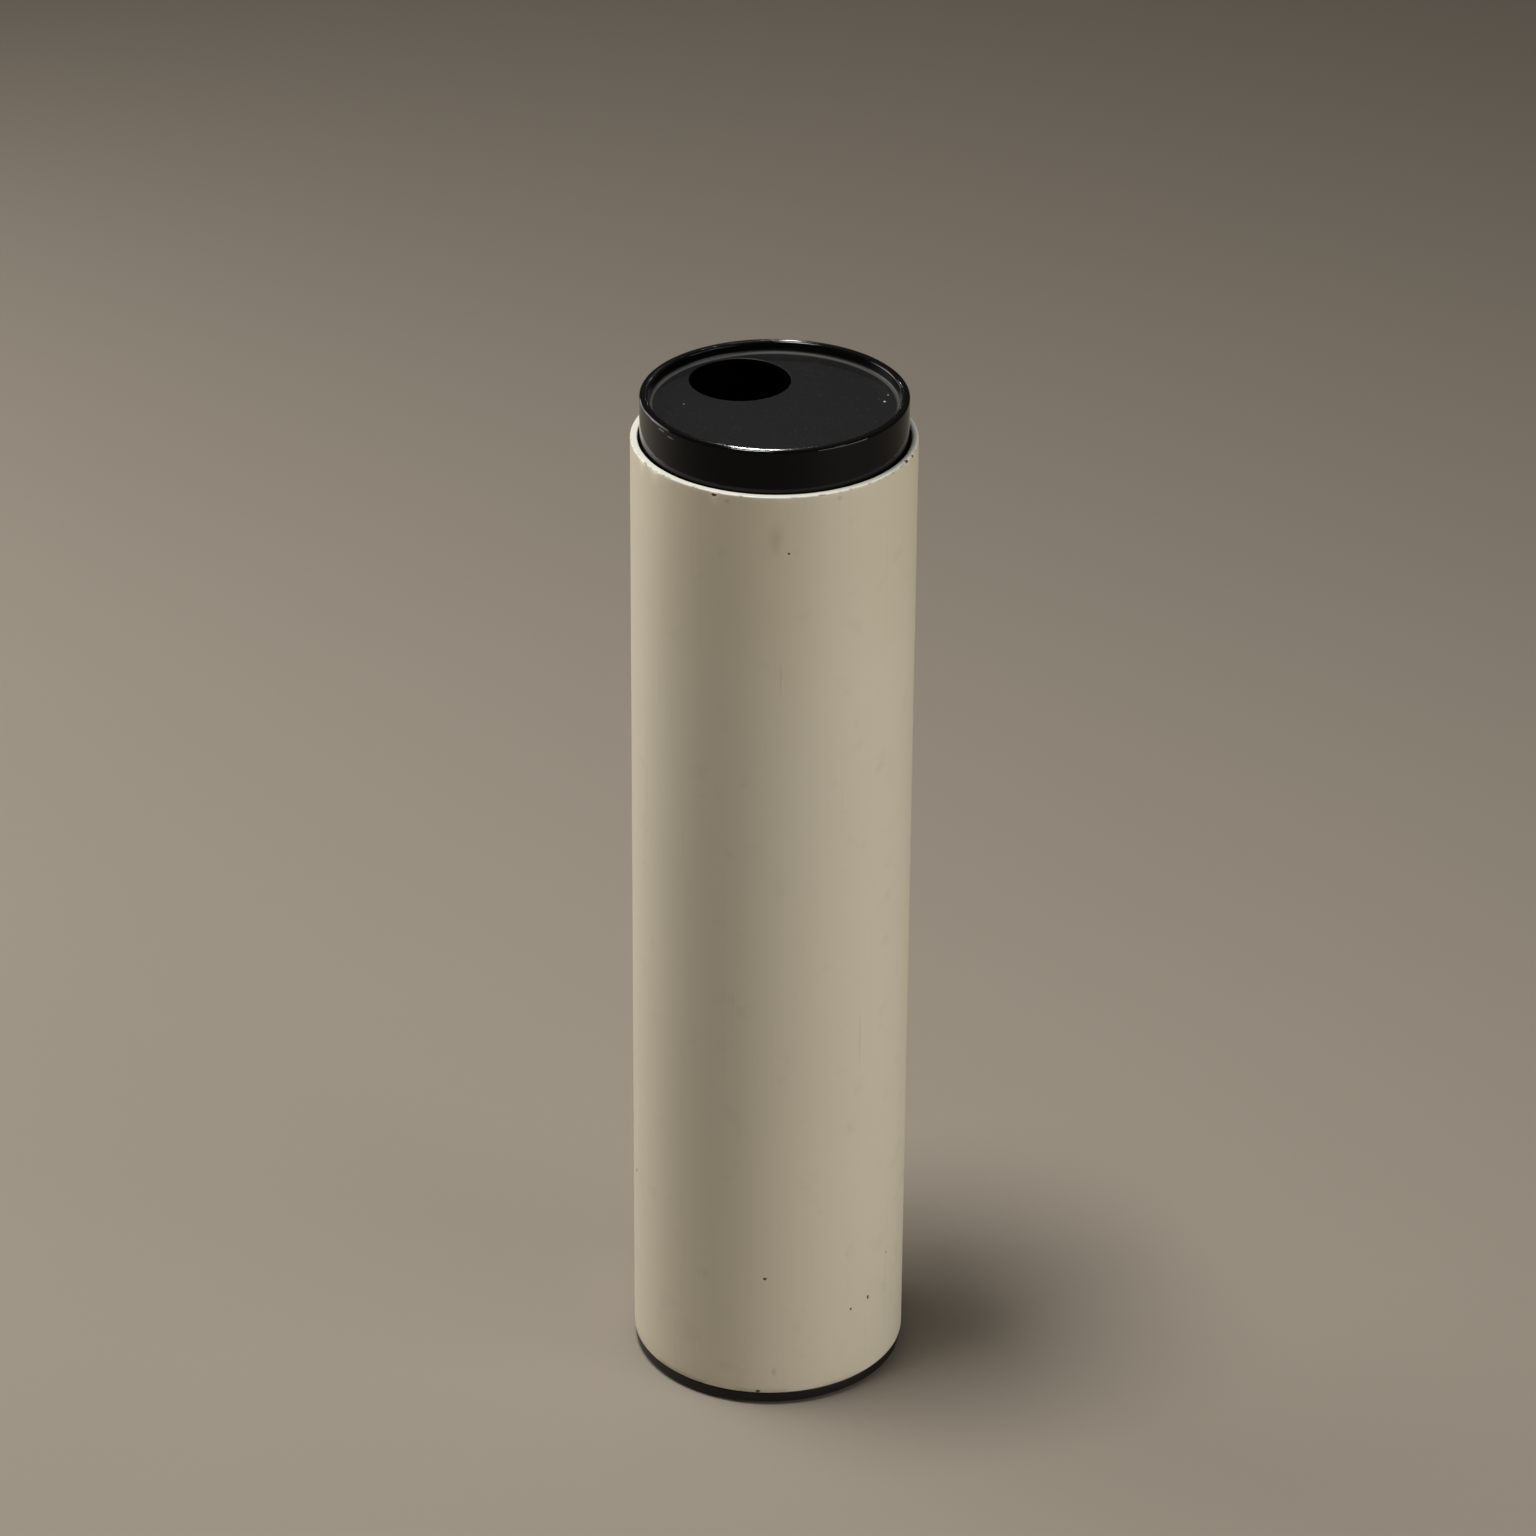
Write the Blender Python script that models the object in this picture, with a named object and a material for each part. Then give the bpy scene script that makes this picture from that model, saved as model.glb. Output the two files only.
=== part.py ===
"""Floor-standing ashtray: a lacquered tube with a lift-off dish cap and an ash bucket inside.

Metres, +Z up. The origin is at the centre of the base, on the floor. The cap's drop hole is
towards +Y, and everything else is centred on the Z axis.
"""

from math import cos, pi, sin, sqrt, tan

import bmesh
import bpy
from mathutils import Matrix, Vector

# ---- clearances -------------------------------------------------------------------------
GAP = 0.0003               # between pieces that touch
LOOSE = 0.0003             # radial play of a fastener or a pin in its hole

# ---- tube -------------------------------------------------------------------------------
TUBE_RADIUS = 0.080
TUBE_WALL = 0.004
TUBE_LENGTH = 0.585
TUBE_EDGE = 0.0008         # rounding of the tube's two ends

# ---- base: foot, pads and ballast -------------------------------------------------------
PAD_COUNT = 4
PAD_RADIUS = 0.0045
PAD_THICKNESS = 0.001
FOOT_INSET = 0.001         # how far the foot's rim stands in from the tube's outside
FOOT_RIM_HEIGHT = 0.0067
FOOT_RIM_WIDTH = 0.012
FOOT_RECESS = 0.0058       # depth of the hollow under the foot
FOOT_FLOOR = 0.004
FOOT_EDGE = 0.0008         # rounding of the rim that shows under the tube
SPIGOT_WALL = 0.003
SPIGOT_HEIGHT = 0.032
SPIGOT_EDGE = 0.001
BALLAST_PLAY = 0.0017      # radial play of the ballast disc in the spigot
BALLAST_THICKNESS = 0.018
BALLAST_EDGE = 0.0015
BOLT_RADIUS = 0.003
BOLT_HEAD_FLATS = 0.010
BOLT_HEAD_HEIGHT = 0.004
BOLT_END = 0.002           # what the bolt shows past its nut
WASHER_RADIUS = 0.009
WASHER_THICKNESS = 0.0016
NUT_HEIGHT = 0.005

# ---- cap and the ring it rests on -------------------------------------------------------
CAP_PLAY = 0.0012          # radial gap between the cap and the tube
CAP_RISE = 0.025           # how far the cap stands above the tube
CAP_SKIRT_DEPTH = 0.022    # how far the skirt reaches down into the tube
CAP_WALL = 0.0035
CAP_FLOOR = 0.003
CAP_RIM_WIDTH = 0.0046
CAP_RIM_ROUNDING = 0.28    # share of the width, so a flat band is left on top
CAP_SKIRT_EDGE = 0.0006
CAP_INNER_FILLET = 0.0015  # between the skirt and the underside of the dish
DISH_DEPTH = 0.0064
DISH_FILLET = 0.0018
DISH_DRAFT = 0.0008        # how far the dish's wall leans in over its depth
HOLE_RADIUS = 0.0284
HOLE_OFFSET = 0.0381
HOLE_EDGE = 0.0006
GASKET_HEIGHT = 0.003
GASKET_BITE = 0.0017       # how deep the gasket's groove is cut
GASKET_DROP = 0.012        # from the tube's mouth down to the gasket
GASKET_ROUNDING = 0.35     # share of the gasket's width
SEAT_WIDTH = 0.0032
SEAT_HEIGHT = 0.012
SEAT_EDGE = 0.0005

# ---- bucket and its bail ----------------------------------------------------------------
BUCKET_PLAY = 0.0010       # radial gap between the bucket's bead and the seat ring
BUCKET_WALL = 0.001
BEAD_RADIUS = 0.0015
BOTTOM_LIFT = 0.0125       # from the bucket's lower edge up to its bottom plate
BOTTOM_THICKNESS = 0.0012
BOTTOM_LIP = 0.008
EAR_WIDTH = 0.016
EAR_THICKNESS = 0.0012
EAR_DROP = 0.020           # how far the ear reaches down inside the bucket
EAR_MARGIN = 0.0034        # metal around the bail's hole
RIVET_RADIUS = 0.0015
RIVET_HEAD_RADIUS = 0.0026
RIVET_HEAD_HEIGHT = 0.0008
RIVET_CROWN = 0.8          # flat top of the rivet's head, as a share of the head
RIVET_SPACING = 0.009
RIVET_DROP = 0.012
BAIL_WIRE = 0.0015         # radius of the wire
BAIL_BEND = 0.003
BAIL_SIDE_PLAY = 0.002     # from the ear to the bail's legs
BAIL_HEADROOM = 0.0175     # from the upright bail to the underside of the cap

# ---- facets -----------------------------------------------------------------------------
ROUND_STEPS = 72           # large turned pieces that show
INNER_STEPS = 48           # large turned pieces inside
SMALL_STEPS = 12           # bolts, rivets and pads
BEAD_STEPS = 6             # around the bucket's bead
FILLET_STEPS = 2
BEND_STEPS = 4             # around each corner of the bail
OVAL_STEPS = 24            # along the bail's half oval
WIRE_RESOLUTION = 2
SHARP_ANGLE = pi / 6

# ---- places that follow from the sizes --------------------------------------------------
FOOT_Z = PAD_THICKNESS + GAP
FOOT_TOP_Z = FOOT_Z + FOOT_RIM_HEIGHT
FOOT_FLOOR_Z = FOOT_Z + FOOT_RECESS + FOOT_FLOOR
TUBE_Z = FOOT_TOP_Z + GAP
TUBE_TOP_Z = TUBE_Z + TUBE_LENGTH
TUBE_BORE = TUBE_RADIUS - TUBE_WALL
FOOT_RADIUS = TUBE_RADIUS - FOOT_INSET
SPIGOT_RADIUS = TUBE_BORE - GAP
SPIGOT_BORE = SPIGOT_RADIUS - SPIGOT_WALL
BALLAST_RADIUS = SPIGOT_BORE - BALLAST_PLAY
BALLAST_Z = FOOT_FLOOR_Z + GAP
BALLAST_TOP_Z = BALLAST_Z + BALLAST_THICKNESS
BOLT_HOLE = BOLT_RADIUS + LOOSE
BOLT_HEAD_TOP_Z = FOOT_Z + FOOT_RECESS - GAP
WASHER_Z = BALLAST_TOP_Z + GAP
NUT_Z = WASHER_Z + WASHER_THICKNESS + GAP
BOLT_TOP_Z = NUT_Z + NUT_HEIGHT + BOLT_END

CAP_RADIUS = TUBE_BORE - CAP_PLAY
CAP_TOP_Z = TUBE_TOP_Z + CAP_RISE
CAP_Z = TUBE_TOP_Z - CAP_SKIRT_DEPTH
DISH_Z = CAP_TOP_Z - DISH_DEPTH
SKIRT_BORE = CAP_RADIUS - CAP_WALL
DISH_WALL_RADIUS = CAP_RADIUS - CAP_RIM_WIDTH
GASKET_Z = TUBE_TOP_Z - GASKET_DROP - GASKET_HEIGHT
SEAT_RADIUS = TUBE_BORE - GAP
SEAT_BORE = SEAT_RADIUS - SEAT_WIDTH
SEAT_TOP_Z = CAP_Z - GAP

BUCKET_Z = BALLAST_TOP_Z + GAP
BUCKET_RADIUS = SEAT_BORE - BUCKET_PLAY - BEAD_RADIUS
BUCKET_BORE = BUCKET_RADIUS - BUCKET_WALL
BAIL_Z = DISH_Z - CAP_FLOOR - BAIL_HEADROOM - BUCKET_RADIUS - BAIL_WIRE
BUCKET_TOP_Z = BAIL_Z - BAIL_WIRE - GAP
EAR_HALF = EAR_WIDTH / 2
EAR_OUT_X = sqrt((BUCKET_RADIUS - BEAD_RADIUS) ** 2 - EAR_HALF ** 2) - GAP
EAR_IN_X = EAR_OUT_X - EAR_THICKNESS
EAR_TOP_Z = BAIL_Z + BAIL_WIRE + LOOSE + EAR_MARGIN
RIVET_Z = BUCKET_TOP_Z - RIVET_DROP
BAIL_LEG_X = EAR_IN_X - BAIL_SIDE_PLAY - BAIL_WIRE
BAIL_PIN_X = BUCKET_RADIUS


# ---- shape helpers ----------------------------------------------------------------------
def rounded_outline(corners):
    """Turn corners (r, z, fillet radius) of a closed outline into points, fillets as arcs."""
    points = []
    for index, (r, z, fillet) in enumerate(corners):
        corner = Vector((r, z))
        if fillet == 0:
            points.append(corner)
            continue
        back = (Vector(corners[index - 1][:2]) - corner).normalized()
        ahead = (Vector(corners[(index + 1) % len(corners)][:2]) - corner).normalized()
        half_turn = back.angle(ahead) / 2
        centre = corner + (back + ahead).normalized() * fillet / sin(half_turn)
        first = corner + back * fillet / tan(half_turn) - centre
        last = corner + ahead * fillet / tan(half_turn) - centre
        for step in range(FILLET_STEPS + 1):
            spoke = first.lerp(last, step / FILLET_STEPS).normalized()
            points.append(centre + spoke * fillet)
    return points


def link_mesh(name, mesh_builder, material):
    """Put a finished bmesh into the scene as one object, shaded smooth up to its sharp edges."""
    mesh = bpy.data.meshes.new(name)
    mesh_builder.to_mesh(mesh)
    mesh_builder.free()
    mesh.shade_smooth()
    mesh.set_sharp_from_angle(angle=SHARP_ANGLE)
    mesh.materials.append(material)
    piece = bpy.data.objects.new(name, mesh)
    bpy.context.collection.objects.link(piece)
    return piece


def turned(name, outline, material, steps=ROUND_STEPS):
    """Spin a closed outline of (r, z) points once around the Z axis."""
    build = bmesh.new()
    ring = [build.verts.new((r, 0.0, z)) for r, z in outline]
    edges = [build.edges.new((ring[i - 1], ring[i])) for i in range(len(ring))]
    bmesh.ops.spin(build, geom=ring + edges, cent=(0, 0, 0), axis=(0, 0, 1), dvec=(0, 0, 0),
                   angle=2 * pi, steps=steps, use_merge=True, use_duplicate=False)
    bmesh.ops.remove_doubles(build, verts=build.verts, dist=1e-6)
    bmesh.ops.dissolve_degenerate(build, dist=1e-7, edges=build.edges)
    bmesh.ops.recalc_face_normals(build, faces=build.faces)
    return link_mesh(name, build, material)


def prism(name, radius, low, high, material, steps):
    """A round or many-sided bar along Z from low to high."""
    build = bmesh.new()
    bmesh.ops.create_cone(build, cap_ends=True, segments=steps, radius1=radius,
                          radius2=radius, depth=high - low,
                          matrix=Matrix.Translation((0, 0, (low + high) / 2)))
    return link_mesh(name, build, material)


def cut(piece, cutter):
    """Subtract the cutter from the piece and hide the cutter."""
    combine(piece, cutter, 'DIFFERENCE')


def combine(piece, other, operation):
    """Add a Boolean modifier to the piece and turn the other object into its guide."""
    modifier = piece.modifiers.new(other.name, 'BOOLEAN')
    modifier.operation = operation
    modifier.solver = 'EXACT'
    modifier.object = other
    other.hide_render = True
    other.display_type = 'WIRE'


def paint(name, colour, roughness, metallic=0.0):
    """A plain Principled material."""
    material = bpy.data.materials.new(name)
    material.use_nodes = True
    shader = material.node_tree.nodes['Principled BSDF']
    shader.inputs['Base Color'].default_value = (*colour, 1.0)
    shader.inputs['Roughness'].default_value = roughness
    shader.inputs['Metallic'].default_value = metallic
    return material


# ---- tube and base ----------------------------------------------------------------------
def body_tube():
    outline = rounded_outline([
        (TUBE_RADIUS, TUBE_Z, TUBE_EDGE),
        (TUBE_RADIUS, TUBE_TOP_Z, TUBE_EDGE),
        (TUBE_BORE, TUBE_TOP_Z, TUBE_EDGE),
        (TUBE_BORE, TUBE_Z, 0),
    ])
    return turned('body_tube', outline, paint('cream_lacquer', (0.52, 0.47, 0.36), 0.4))


def base_foot():
    """A moulded cup: its rim shows under the tube and its spigot is glued inside."""
    outline = rounded_outline([
        (FOOT_RADIUS, FOOT_Z, FOOT_EDGE),
        (FOOT_RADIUS, FOOT_TOP_Z, FOOT_EDGE),
        (SPIGOT_RADIUS, FOOT_TOP_Z, 0),
        (SPIGOT_RADIUS, FOOT_Z + SPIGOT_HEIGHT, SPIGOT_EDGE),
        (SPIGOT_BORE, FOOT_Z + SPIGOT_HEIGHT, SPIGOT_EDGE),
        (SPIGOT_BORE, FOOT_FLOOR_Z, SPIGOT_EDGE),
        (BOLT_HOLE, FOOT_FLOOR_Z, 0),
        (BOLT_HOLE, FOOT_Z + FOOT_RECESS, 0),
        (FOOT_RADIUS - FOOT_RIM_WIDTH, FOOT_Z + FOOT_RECESS, 0),
        (FOOT_RADIUS - FOOT_RIM_WIDTH, FOOT_Z, 0),
    ])
    return turned('base_foot', outline, paint('black_moulding', (0.014, 0.012, 0.011), 0.5))


def foot_pads():
    ring = FOOT_RADIUS - FOOT_RIM_WIDTH / 2
    rubber = paint('pad_rubber', (0.03, 0.03, 0.03), 0.9)
    for index in range(PAD_COUNT):
        pad = prism(f'foot_pad_{index + 1}', PAD_RADIUS, 0.0, PAD_THICKNESS, rubber, SMALL_STEPS)
        angle = (index + 0.5) * 2 * pi / PAD_COUNT
        pad.location = (ring * cos(angle), ring * sin(angle), 0.0)


def ballast():
    outline = rounded_outline([
        (BALLAST_RADIUS, BALLAST_Z, BALLAST_EDGE),
        (BALLAST_RADIUS, BALLAST_TOP_Z, BALLAST_EDGE),
        (BOLT_HOLE, BALLAST_TOP_Z, 0),
        (BOLT_HOLE, BALLAST_Z, 0),
    ])
    return turned('ballast_weight', outline, paint('cast_iron', (0.09, 0.085, 0.08), 0.75, 0.6),
                  INNER_STEPS)


def ballast_fasteners():
    """The bolt that holds the ballast down, with its washer and nut."""
    zinc = paint('zinc_steel', (0.55, 0.55, 0.53), 0.35, 1.0)
    head_radius = BOLT_HEAD_FLATS / 2 / cos(pi / 6)
    bolt = prism('ballast_bolt', head_radius, BOLT_HEAD_TOP_Z - BOLT_HEAD_HEIGHT,
                 BOLT_HEAD_TOP_Z, zinc, 6)
    shank_start = BOLT_HEAD_TOP_Z - BOLT_HEAD_HEIGHT / 2
    shank = prism('bolt_shank_guide', BOLT_RADIUS, shank_start, BOLT_TOP_Z, zinc, SMALL_STEPS)
    combine(bolt, shank, 'UNION')
    washer = [(WASHER_RADIUS, WASHER_Z), (WASHER_RADIUS, WASHER_Z + WASHER_THICKNESS),
              (BOLT_HOLE, WASHER_Z + WASHER_THICKNESS), (BOLT_HOLE, WASHER_Z)]
    turned('ballast_washer', washer, zinc, SMALL_STEPS * 2)
    nut = prism('ballast_nut', head_radius, NUT_Z, NUT_Z + NUT_HEIGHT, zinc, 6)
    bore = prism('nut_bore_guide', BOLT_HOLE, NUT_Z - NUT_HEIGHT, NUT_Z + 2 * NUT_HEIGHT, zinc,
                 SMALL_STEPS)
    cut(nut, bore)


# ---- cap, gasket and seat ---------------------------------------------------------------
def ash_cap():
    """A moulded dish with a skirt, a groove for the gasket and an off-centre drop hole."""
    groove_top = GASKET_Z + GASKET_HEIGHT + GAP
    groove_low = GASKET_Z - GAP
    groove_radius = CAP_RADIUS - GASKET_BITE
    rim_fillet = CAP_RIM_WIDTH * CAP_RIM_ROUNDING
    outline = rounded_outline([
        (CAP_RADIUS, CAP_Z, CAP_SKIRT_EDGE),
        (CAP_RADIUS, groove_low, 0),
        (groove_radius, groove_low, 0),
        (groove_radius, groove_top, 0),
        (CAP_RADIUS, groove_top, 0),
        (CAP_RADIUS, CAP_TOP_Z, rim_fillet),
        (DISH_WALL_RADIUS, CAP_TOP_Z, rim_fillet),
        (DISH_WALL_RADIUS - DISH_DRAFT, DISH_Z, DISH_FILLET),
        (0, DISH_Z, 0),
        (0, DISH_Z - CAP_FLOOR, 0),
        (SKIRT_BORE, DISH_Z - CAP_FLOOR, CAP_INNER_FILLET),
        (SKIRT_BORE, CAP_Z, CAP_SKIRT_EDGE),
    ])
    cap = turned('ash_cap', outline, paint('black_dish', (0.012, 0.012, 0.012), 0.2))
    cut(cap, drop_hole_cutter(cap.data.materials[0]))
    return cap


def drop_hole_cutter(material):
    """A plug as wide as the hole, flared at the dish's floor so that the hole's edge is round."""
    flare = HOLE_RADIUS + HOLE_EDGE
    above = CAP_TOP_Z + HOLE_EDGE
    below = DISH_Z - CAP_FLOOR - HOLE_EDGE
    outline = [Vector((0, below)), Vector((HOLE_RADIUS, below))]
    for step in range(FILLET_STEPS + 1):
        angle = pi / 2 * step / FILLET_STEPS
        outline.append(Vector((flare - HOLE_EDGE * cos(angle),
                               DISH_Z - HOLE_EDGE + HOLE_EDGE * sin(angle))))
    outline += [Vector((flare, above)), Vector((0, above))]
    cutter = turned('drop_hole_guide', outline, material, INNER_STEPS)
    cutter.location = (0, HOLE_OFFSET, 0)
    return cutter


def cap_gasket():
    """A rubber ring that stays in the cap's groove and centres the cap in the tube."""
    outer = TUBE_BORE - GAP
    inner = CAP_RADIUS - GASKET_BITE + GAP
    edge = (outer - inner) * GASKET_ROUNDING
    outline = rounded_outline([
        (outer, GASKET_Z, edge),
        (outer, GASKET_Z + GASKET_HEIGHT, edge),
        (inner, GASKET_Z + GASKET_HEIGHT, 0),
        (inner, GASKET_Z, 0),
    ])
    return turned('cap_gasket', outline, paint('gasket_rubber', (0.02, 0.02, 0.02), 0.8),
                  INNER_STEPS)


def cap_seat_ring():
    outline = rounded_outline([
        (SEAT_RADIUS, SEAT_TOP_Z - SEAT_HEIGHT, SEAT_EDGE),
        (SEAT_RADIUS, SEAT_TOP_Z, 0),
        (SEAT_BORE, SEAT_TOP_Z, SEAT_EDGE),
        (SEAT_BORE, SEAT_TOP_Z - SEAT_HEIGHT, SEAT_EDGE),
    ])
    return turned('cap_seat_ring', outline, paint('seat_plastic', (0.05, 0.05, 0.05), 0.6),
                  INNER_STEPS)


# ---- bucket -----------------------------------------------------------------------------
def bucket_wall(metal):
    """A sheet sleeve with a rolled bead at its mouth and two rivet holes on each side."""
    bead_z = BUCKET_TOP_Z - BEAD_RADIUS
    outline = [Vector((BUCKET_BORE, BUCKET_Z)), Vector((BUCKET_RADIUS, BUCKET_Z))]
    for step in range(BEAD_STEPS):
        angle = -pi / 2 + step * 2 * pi / BEAD_STEPS
        outline.append(Vector((BUCKET_RADIUS + BEAD_RADIUS * cos(angle),
                               bead_z + BEAD_RADIUS * sin(angle))))
    outline.append(Vector((BUCKET_BORE, bead_z - BEAD_RADIUS)))
    wall = turned('bucket_wall', outline, metal, INNER_STEPS)
    cut(wall, rivet_hole_guides('wall_holes_guide', BUCKET_RADIUS + BEAD_RADIUS, metal))
    return wall


def rivet_hole_guides(name, reach, metal):
    """Two bars along X, at both rivet places, that pierce everything out to the reach."""
    build = bmesh.new()
    for side in (-1, 1):
        place = Matrix.Translation((0, side * RIVET_SPACING / 2, RIVET_Z))
        bmesh.ops.create_cone(build, cap_ends=True, segments=SMALL_STEPS,
                              radius1=RIVET_RADIUS + LOOSE, radius2=RIVET_RADIUS + LOOSE,
                              depth=2 * reach, matrix=place @ Matrix.Rotation(pi / 2, 4, 'Y'))
    return link_mesh(name, build, metal)


def bucket_bottom(metal):
    """A pressed plate, lip down, set above the wall's lower edge so that it clears the nut."""
    plate_z = BUCKET_Z + BOTTOM_LIFT
    rim = BUCKET_BORE - GAP
    outline = rounded_outline([
        (0, plate_z, 0),
        (rim - BOTTOM_THICKNESS, plate_z, 0),
        (rim - BOTTOM_THICKNESS, plate_z - BOTTOM_LIP, 0),
        (rim, plate_z - BOTTOM_LIP, 0),
        (rim, plate_z + BOTTOM_THICKNESS, BOTTOM_THICKNESS / 2),
        (0, plate_z + BOTTOM_THICKNESS, 0),
    ])
    return turned('bucket_bottom', outline, metal, INNER_STEPS)


def bucket_ear(name, side, metal):
    """A flat tab inside the wall. Its round top holds the bail's end."""
    low = BUCKET_TOP_Z - EAR_DROP
    crown = EAR_TOP_Z - BAIL_Z
    shoulder = BUCKET_TOP_Z - BEAD_RADIUS
    outline = [(-EAR_HALF, low), (EAR_HALF, low), (EAR_HALF, shoulder)]
    for step in range(SMALL_STEPS // 2 + 1):
        angle = pi * step / (SMALL_STEPS // 2)
        outline.append((crown * cos(angle), BAIL_Z + crown * sin(angle)))
    outline.append((-EAR_HALF, shoulder))
    build = bmesh.new()
    inner = side * EAR_IN_X
    face = build.faces.new([build.verts.new((inner, y, z)) for y, z in outline])
    grown = bmesh.ops.extrude_face_region(build, geom=[face])['geom']
    far_side = [item for item in grown if isinstance(item, bmesh.types.BMVert)]
    bmesh.ops.translate(build, verts=far_side, vec=(side * EAR_THICKNESS, 0, 0))
    bmesh.ops.recalc_face_normals(build, faces=build.faces)
    ear = link_mesh(name, build, metal)
    cut(ear, rivet_hole_guides(name + '_rivets_guide', BUCKET_RADIUS, metal))
    pin_hole = prism(name + '_pin_guide', BAIL_WIRE + LOOSE, -BUCKET_RADIUS, BUCKET_RADIUS,
                     metal, SMALL_STEPS)
    pin_hole.rotation_euler = (0, pi / 2, 0)
    pin_hole.location = (0, 0, BAIL_Z)
    cut(ear, pin_hole)
    return ear


def ear_rivet(name, side, across, metal):
    """One rivet along X, turned around its own axis and then laid through ear and wall."""
    inner = EAR_IN_X - GAP
    outer = BUCKET_RADIUS + GAP
    crown = RIVET_HEAD_RADIUS * RIVET_CROWN
    half_head = RIVET_HEAD_HEIGHT / 2
    tail = [(0, inner - RIVET_HEAD_HEIGHT), (crown, inner - RIVET_HEAD_HEIGHT),
            (RIVET_HEAD_RADIUS, inner - half_head), (RIVET_HEAD_RADIUS, inner)]
    shank = [(RIVET_RADIUS, inner), (RIVET_RADIUS, outer)]
    head = [(RIVET_HEAD_RADIUS, outer), (RIVET_HEAD_RADIUS, outer + half_head),
            (crown, outer + RIVET_HEAD_HEIGHT), (0, outer + RIVET_HEAD_HEIGHT)]
    outline = tail + shank + head
    rivet = turned(name, outline, metal, SMALL_STEPS)
    rivet.rotation_euler = (0, side * pi / 2, 0)
    rivet.location = (0, side * across, RIVET_Z)
    return rivet


def bail_route():
    """The wire's middle line in its own plane, from the right pin round to the left pin."""
    bend = []
    for step in range(BEND_STEPS + 1):
        angle = pi / 2 * (1 + step / BEND_STEPS)
        bend.append((BAIL_LEG_X + BAIL_BEND + BAIL_BEND * cos(angle),
                     -BAIL_BEND + BAIL_BEND * sin(angle)))
    right = [(BAIL_PIN_X, 0)] + bend
    left = [(-x, y) for x, y in reversed(right)]
    reach = BUCKET_RADIUS - BAIL_BEND
    angles = [pi * step / OVAL_STEPS for step in range(1, OVAL_STEPS)]
    half_oval = [(BAIL_LEG_X * cos(a), -BAIL_BEND - reach * sin(a)) for a in angles]
    return right + half_oval + left


def bucket_bail(metal):
    """A wire handle, folded flat on the bucket's mouth towards -Y. Its origin is on its hinge."""
    route = bail_route()
    curve = bpy.data.curves.new('bucket_bail', 'CURVE')
    curve.dimensions = '3D'
    curve.bevel_depth = BAIL_WIRE
    curve.bevel_resolution = WIRE_RESOLUTION
    curve.use_fill_caps = True
    line = curve.splines.new('POLY')
    line.points.add(len(route) - 1)
    for point, (x, y) in zip(line.points, route):
        point.co = (x, y, 0, 1)
    curve.materials.append(metal)
    bail = bpy.data.objects.new('bucket_bail', curve)
    bail.location = (0, 0, BAIL_Z)
    bpy.context.collection.objects.link(bail)
    return bail


def bucket():
    sheet = paint('galvanised_sheet', (0.46, 0.47, 0.46), 0.45, 1.0)
    wire = paint('plated_wire', (0.50, 0.50, 0.48), 0.35, 1.0)
    bucket_wall(sheet)
    bucket_bottom(sheet)
    for side, label in ((-1, 'left'), (1, 'right')):
        bucket_ear(f'bucket_ear_{label}', side, sheet)
    places = [(side, across) for side in (-1, 1) for across in (-1, 1)]
    for index, (side, across) in enumerate(places):
        ear_rivet(f'ear_rivet_{index + 1}', side, across * RIVET_SPACING / 2, wire)
    bucket_bail(wire)


# ---- the whole object -------------------------------------------------------------------
def build_object():
    for old in list(bpy.data.objects):
        bpy.data.objects.remove(old, do_unlink=True)
    body_tube()
    base_foot()
    foot_pads()
    ballast()
    ballast_fasteners()
    cap_seat_ring()
    cap_gasket()
    ash_cap()
    bucket()


build_object()
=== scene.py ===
# %% [markdown]
# # A floor ashtray: lacquered tube, dish cap and ash bucket
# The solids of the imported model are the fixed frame. They give every size and place, and they stay
# in the file for the motion. Each is stood in for by a finer piece, turned or extruded to the same
# sizes, with a finish that is made from nodes only.

# %% Load the fixed frame
from collections import namedtuple
from math import atan2, cos, hypot, pi, radians, sin, tan, tau

import bmesh
import bpy
from mathutils import Matrix, Vector, noise


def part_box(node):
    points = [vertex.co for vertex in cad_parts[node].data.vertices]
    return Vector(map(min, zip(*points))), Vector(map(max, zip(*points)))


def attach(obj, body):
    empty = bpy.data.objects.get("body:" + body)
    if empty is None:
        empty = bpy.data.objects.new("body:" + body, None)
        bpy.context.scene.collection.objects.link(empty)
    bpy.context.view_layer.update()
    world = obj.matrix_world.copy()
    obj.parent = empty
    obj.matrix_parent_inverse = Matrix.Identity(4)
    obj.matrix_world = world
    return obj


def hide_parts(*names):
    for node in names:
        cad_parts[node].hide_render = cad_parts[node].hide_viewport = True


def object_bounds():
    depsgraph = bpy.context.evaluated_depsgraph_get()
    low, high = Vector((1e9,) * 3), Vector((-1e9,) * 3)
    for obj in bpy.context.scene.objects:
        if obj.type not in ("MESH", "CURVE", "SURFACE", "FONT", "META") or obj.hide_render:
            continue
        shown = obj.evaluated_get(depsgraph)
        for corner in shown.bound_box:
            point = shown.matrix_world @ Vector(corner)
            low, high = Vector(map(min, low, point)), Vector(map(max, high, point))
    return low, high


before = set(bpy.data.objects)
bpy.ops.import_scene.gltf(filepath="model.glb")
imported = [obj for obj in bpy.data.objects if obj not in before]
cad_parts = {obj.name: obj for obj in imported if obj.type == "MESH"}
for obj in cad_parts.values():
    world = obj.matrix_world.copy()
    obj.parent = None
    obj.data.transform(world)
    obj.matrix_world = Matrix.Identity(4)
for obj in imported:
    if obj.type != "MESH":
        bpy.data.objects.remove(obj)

cad_low, cad_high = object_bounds()
print("frame box, m:", [round(side, 4) for side in cad_high - cad_low])

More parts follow.
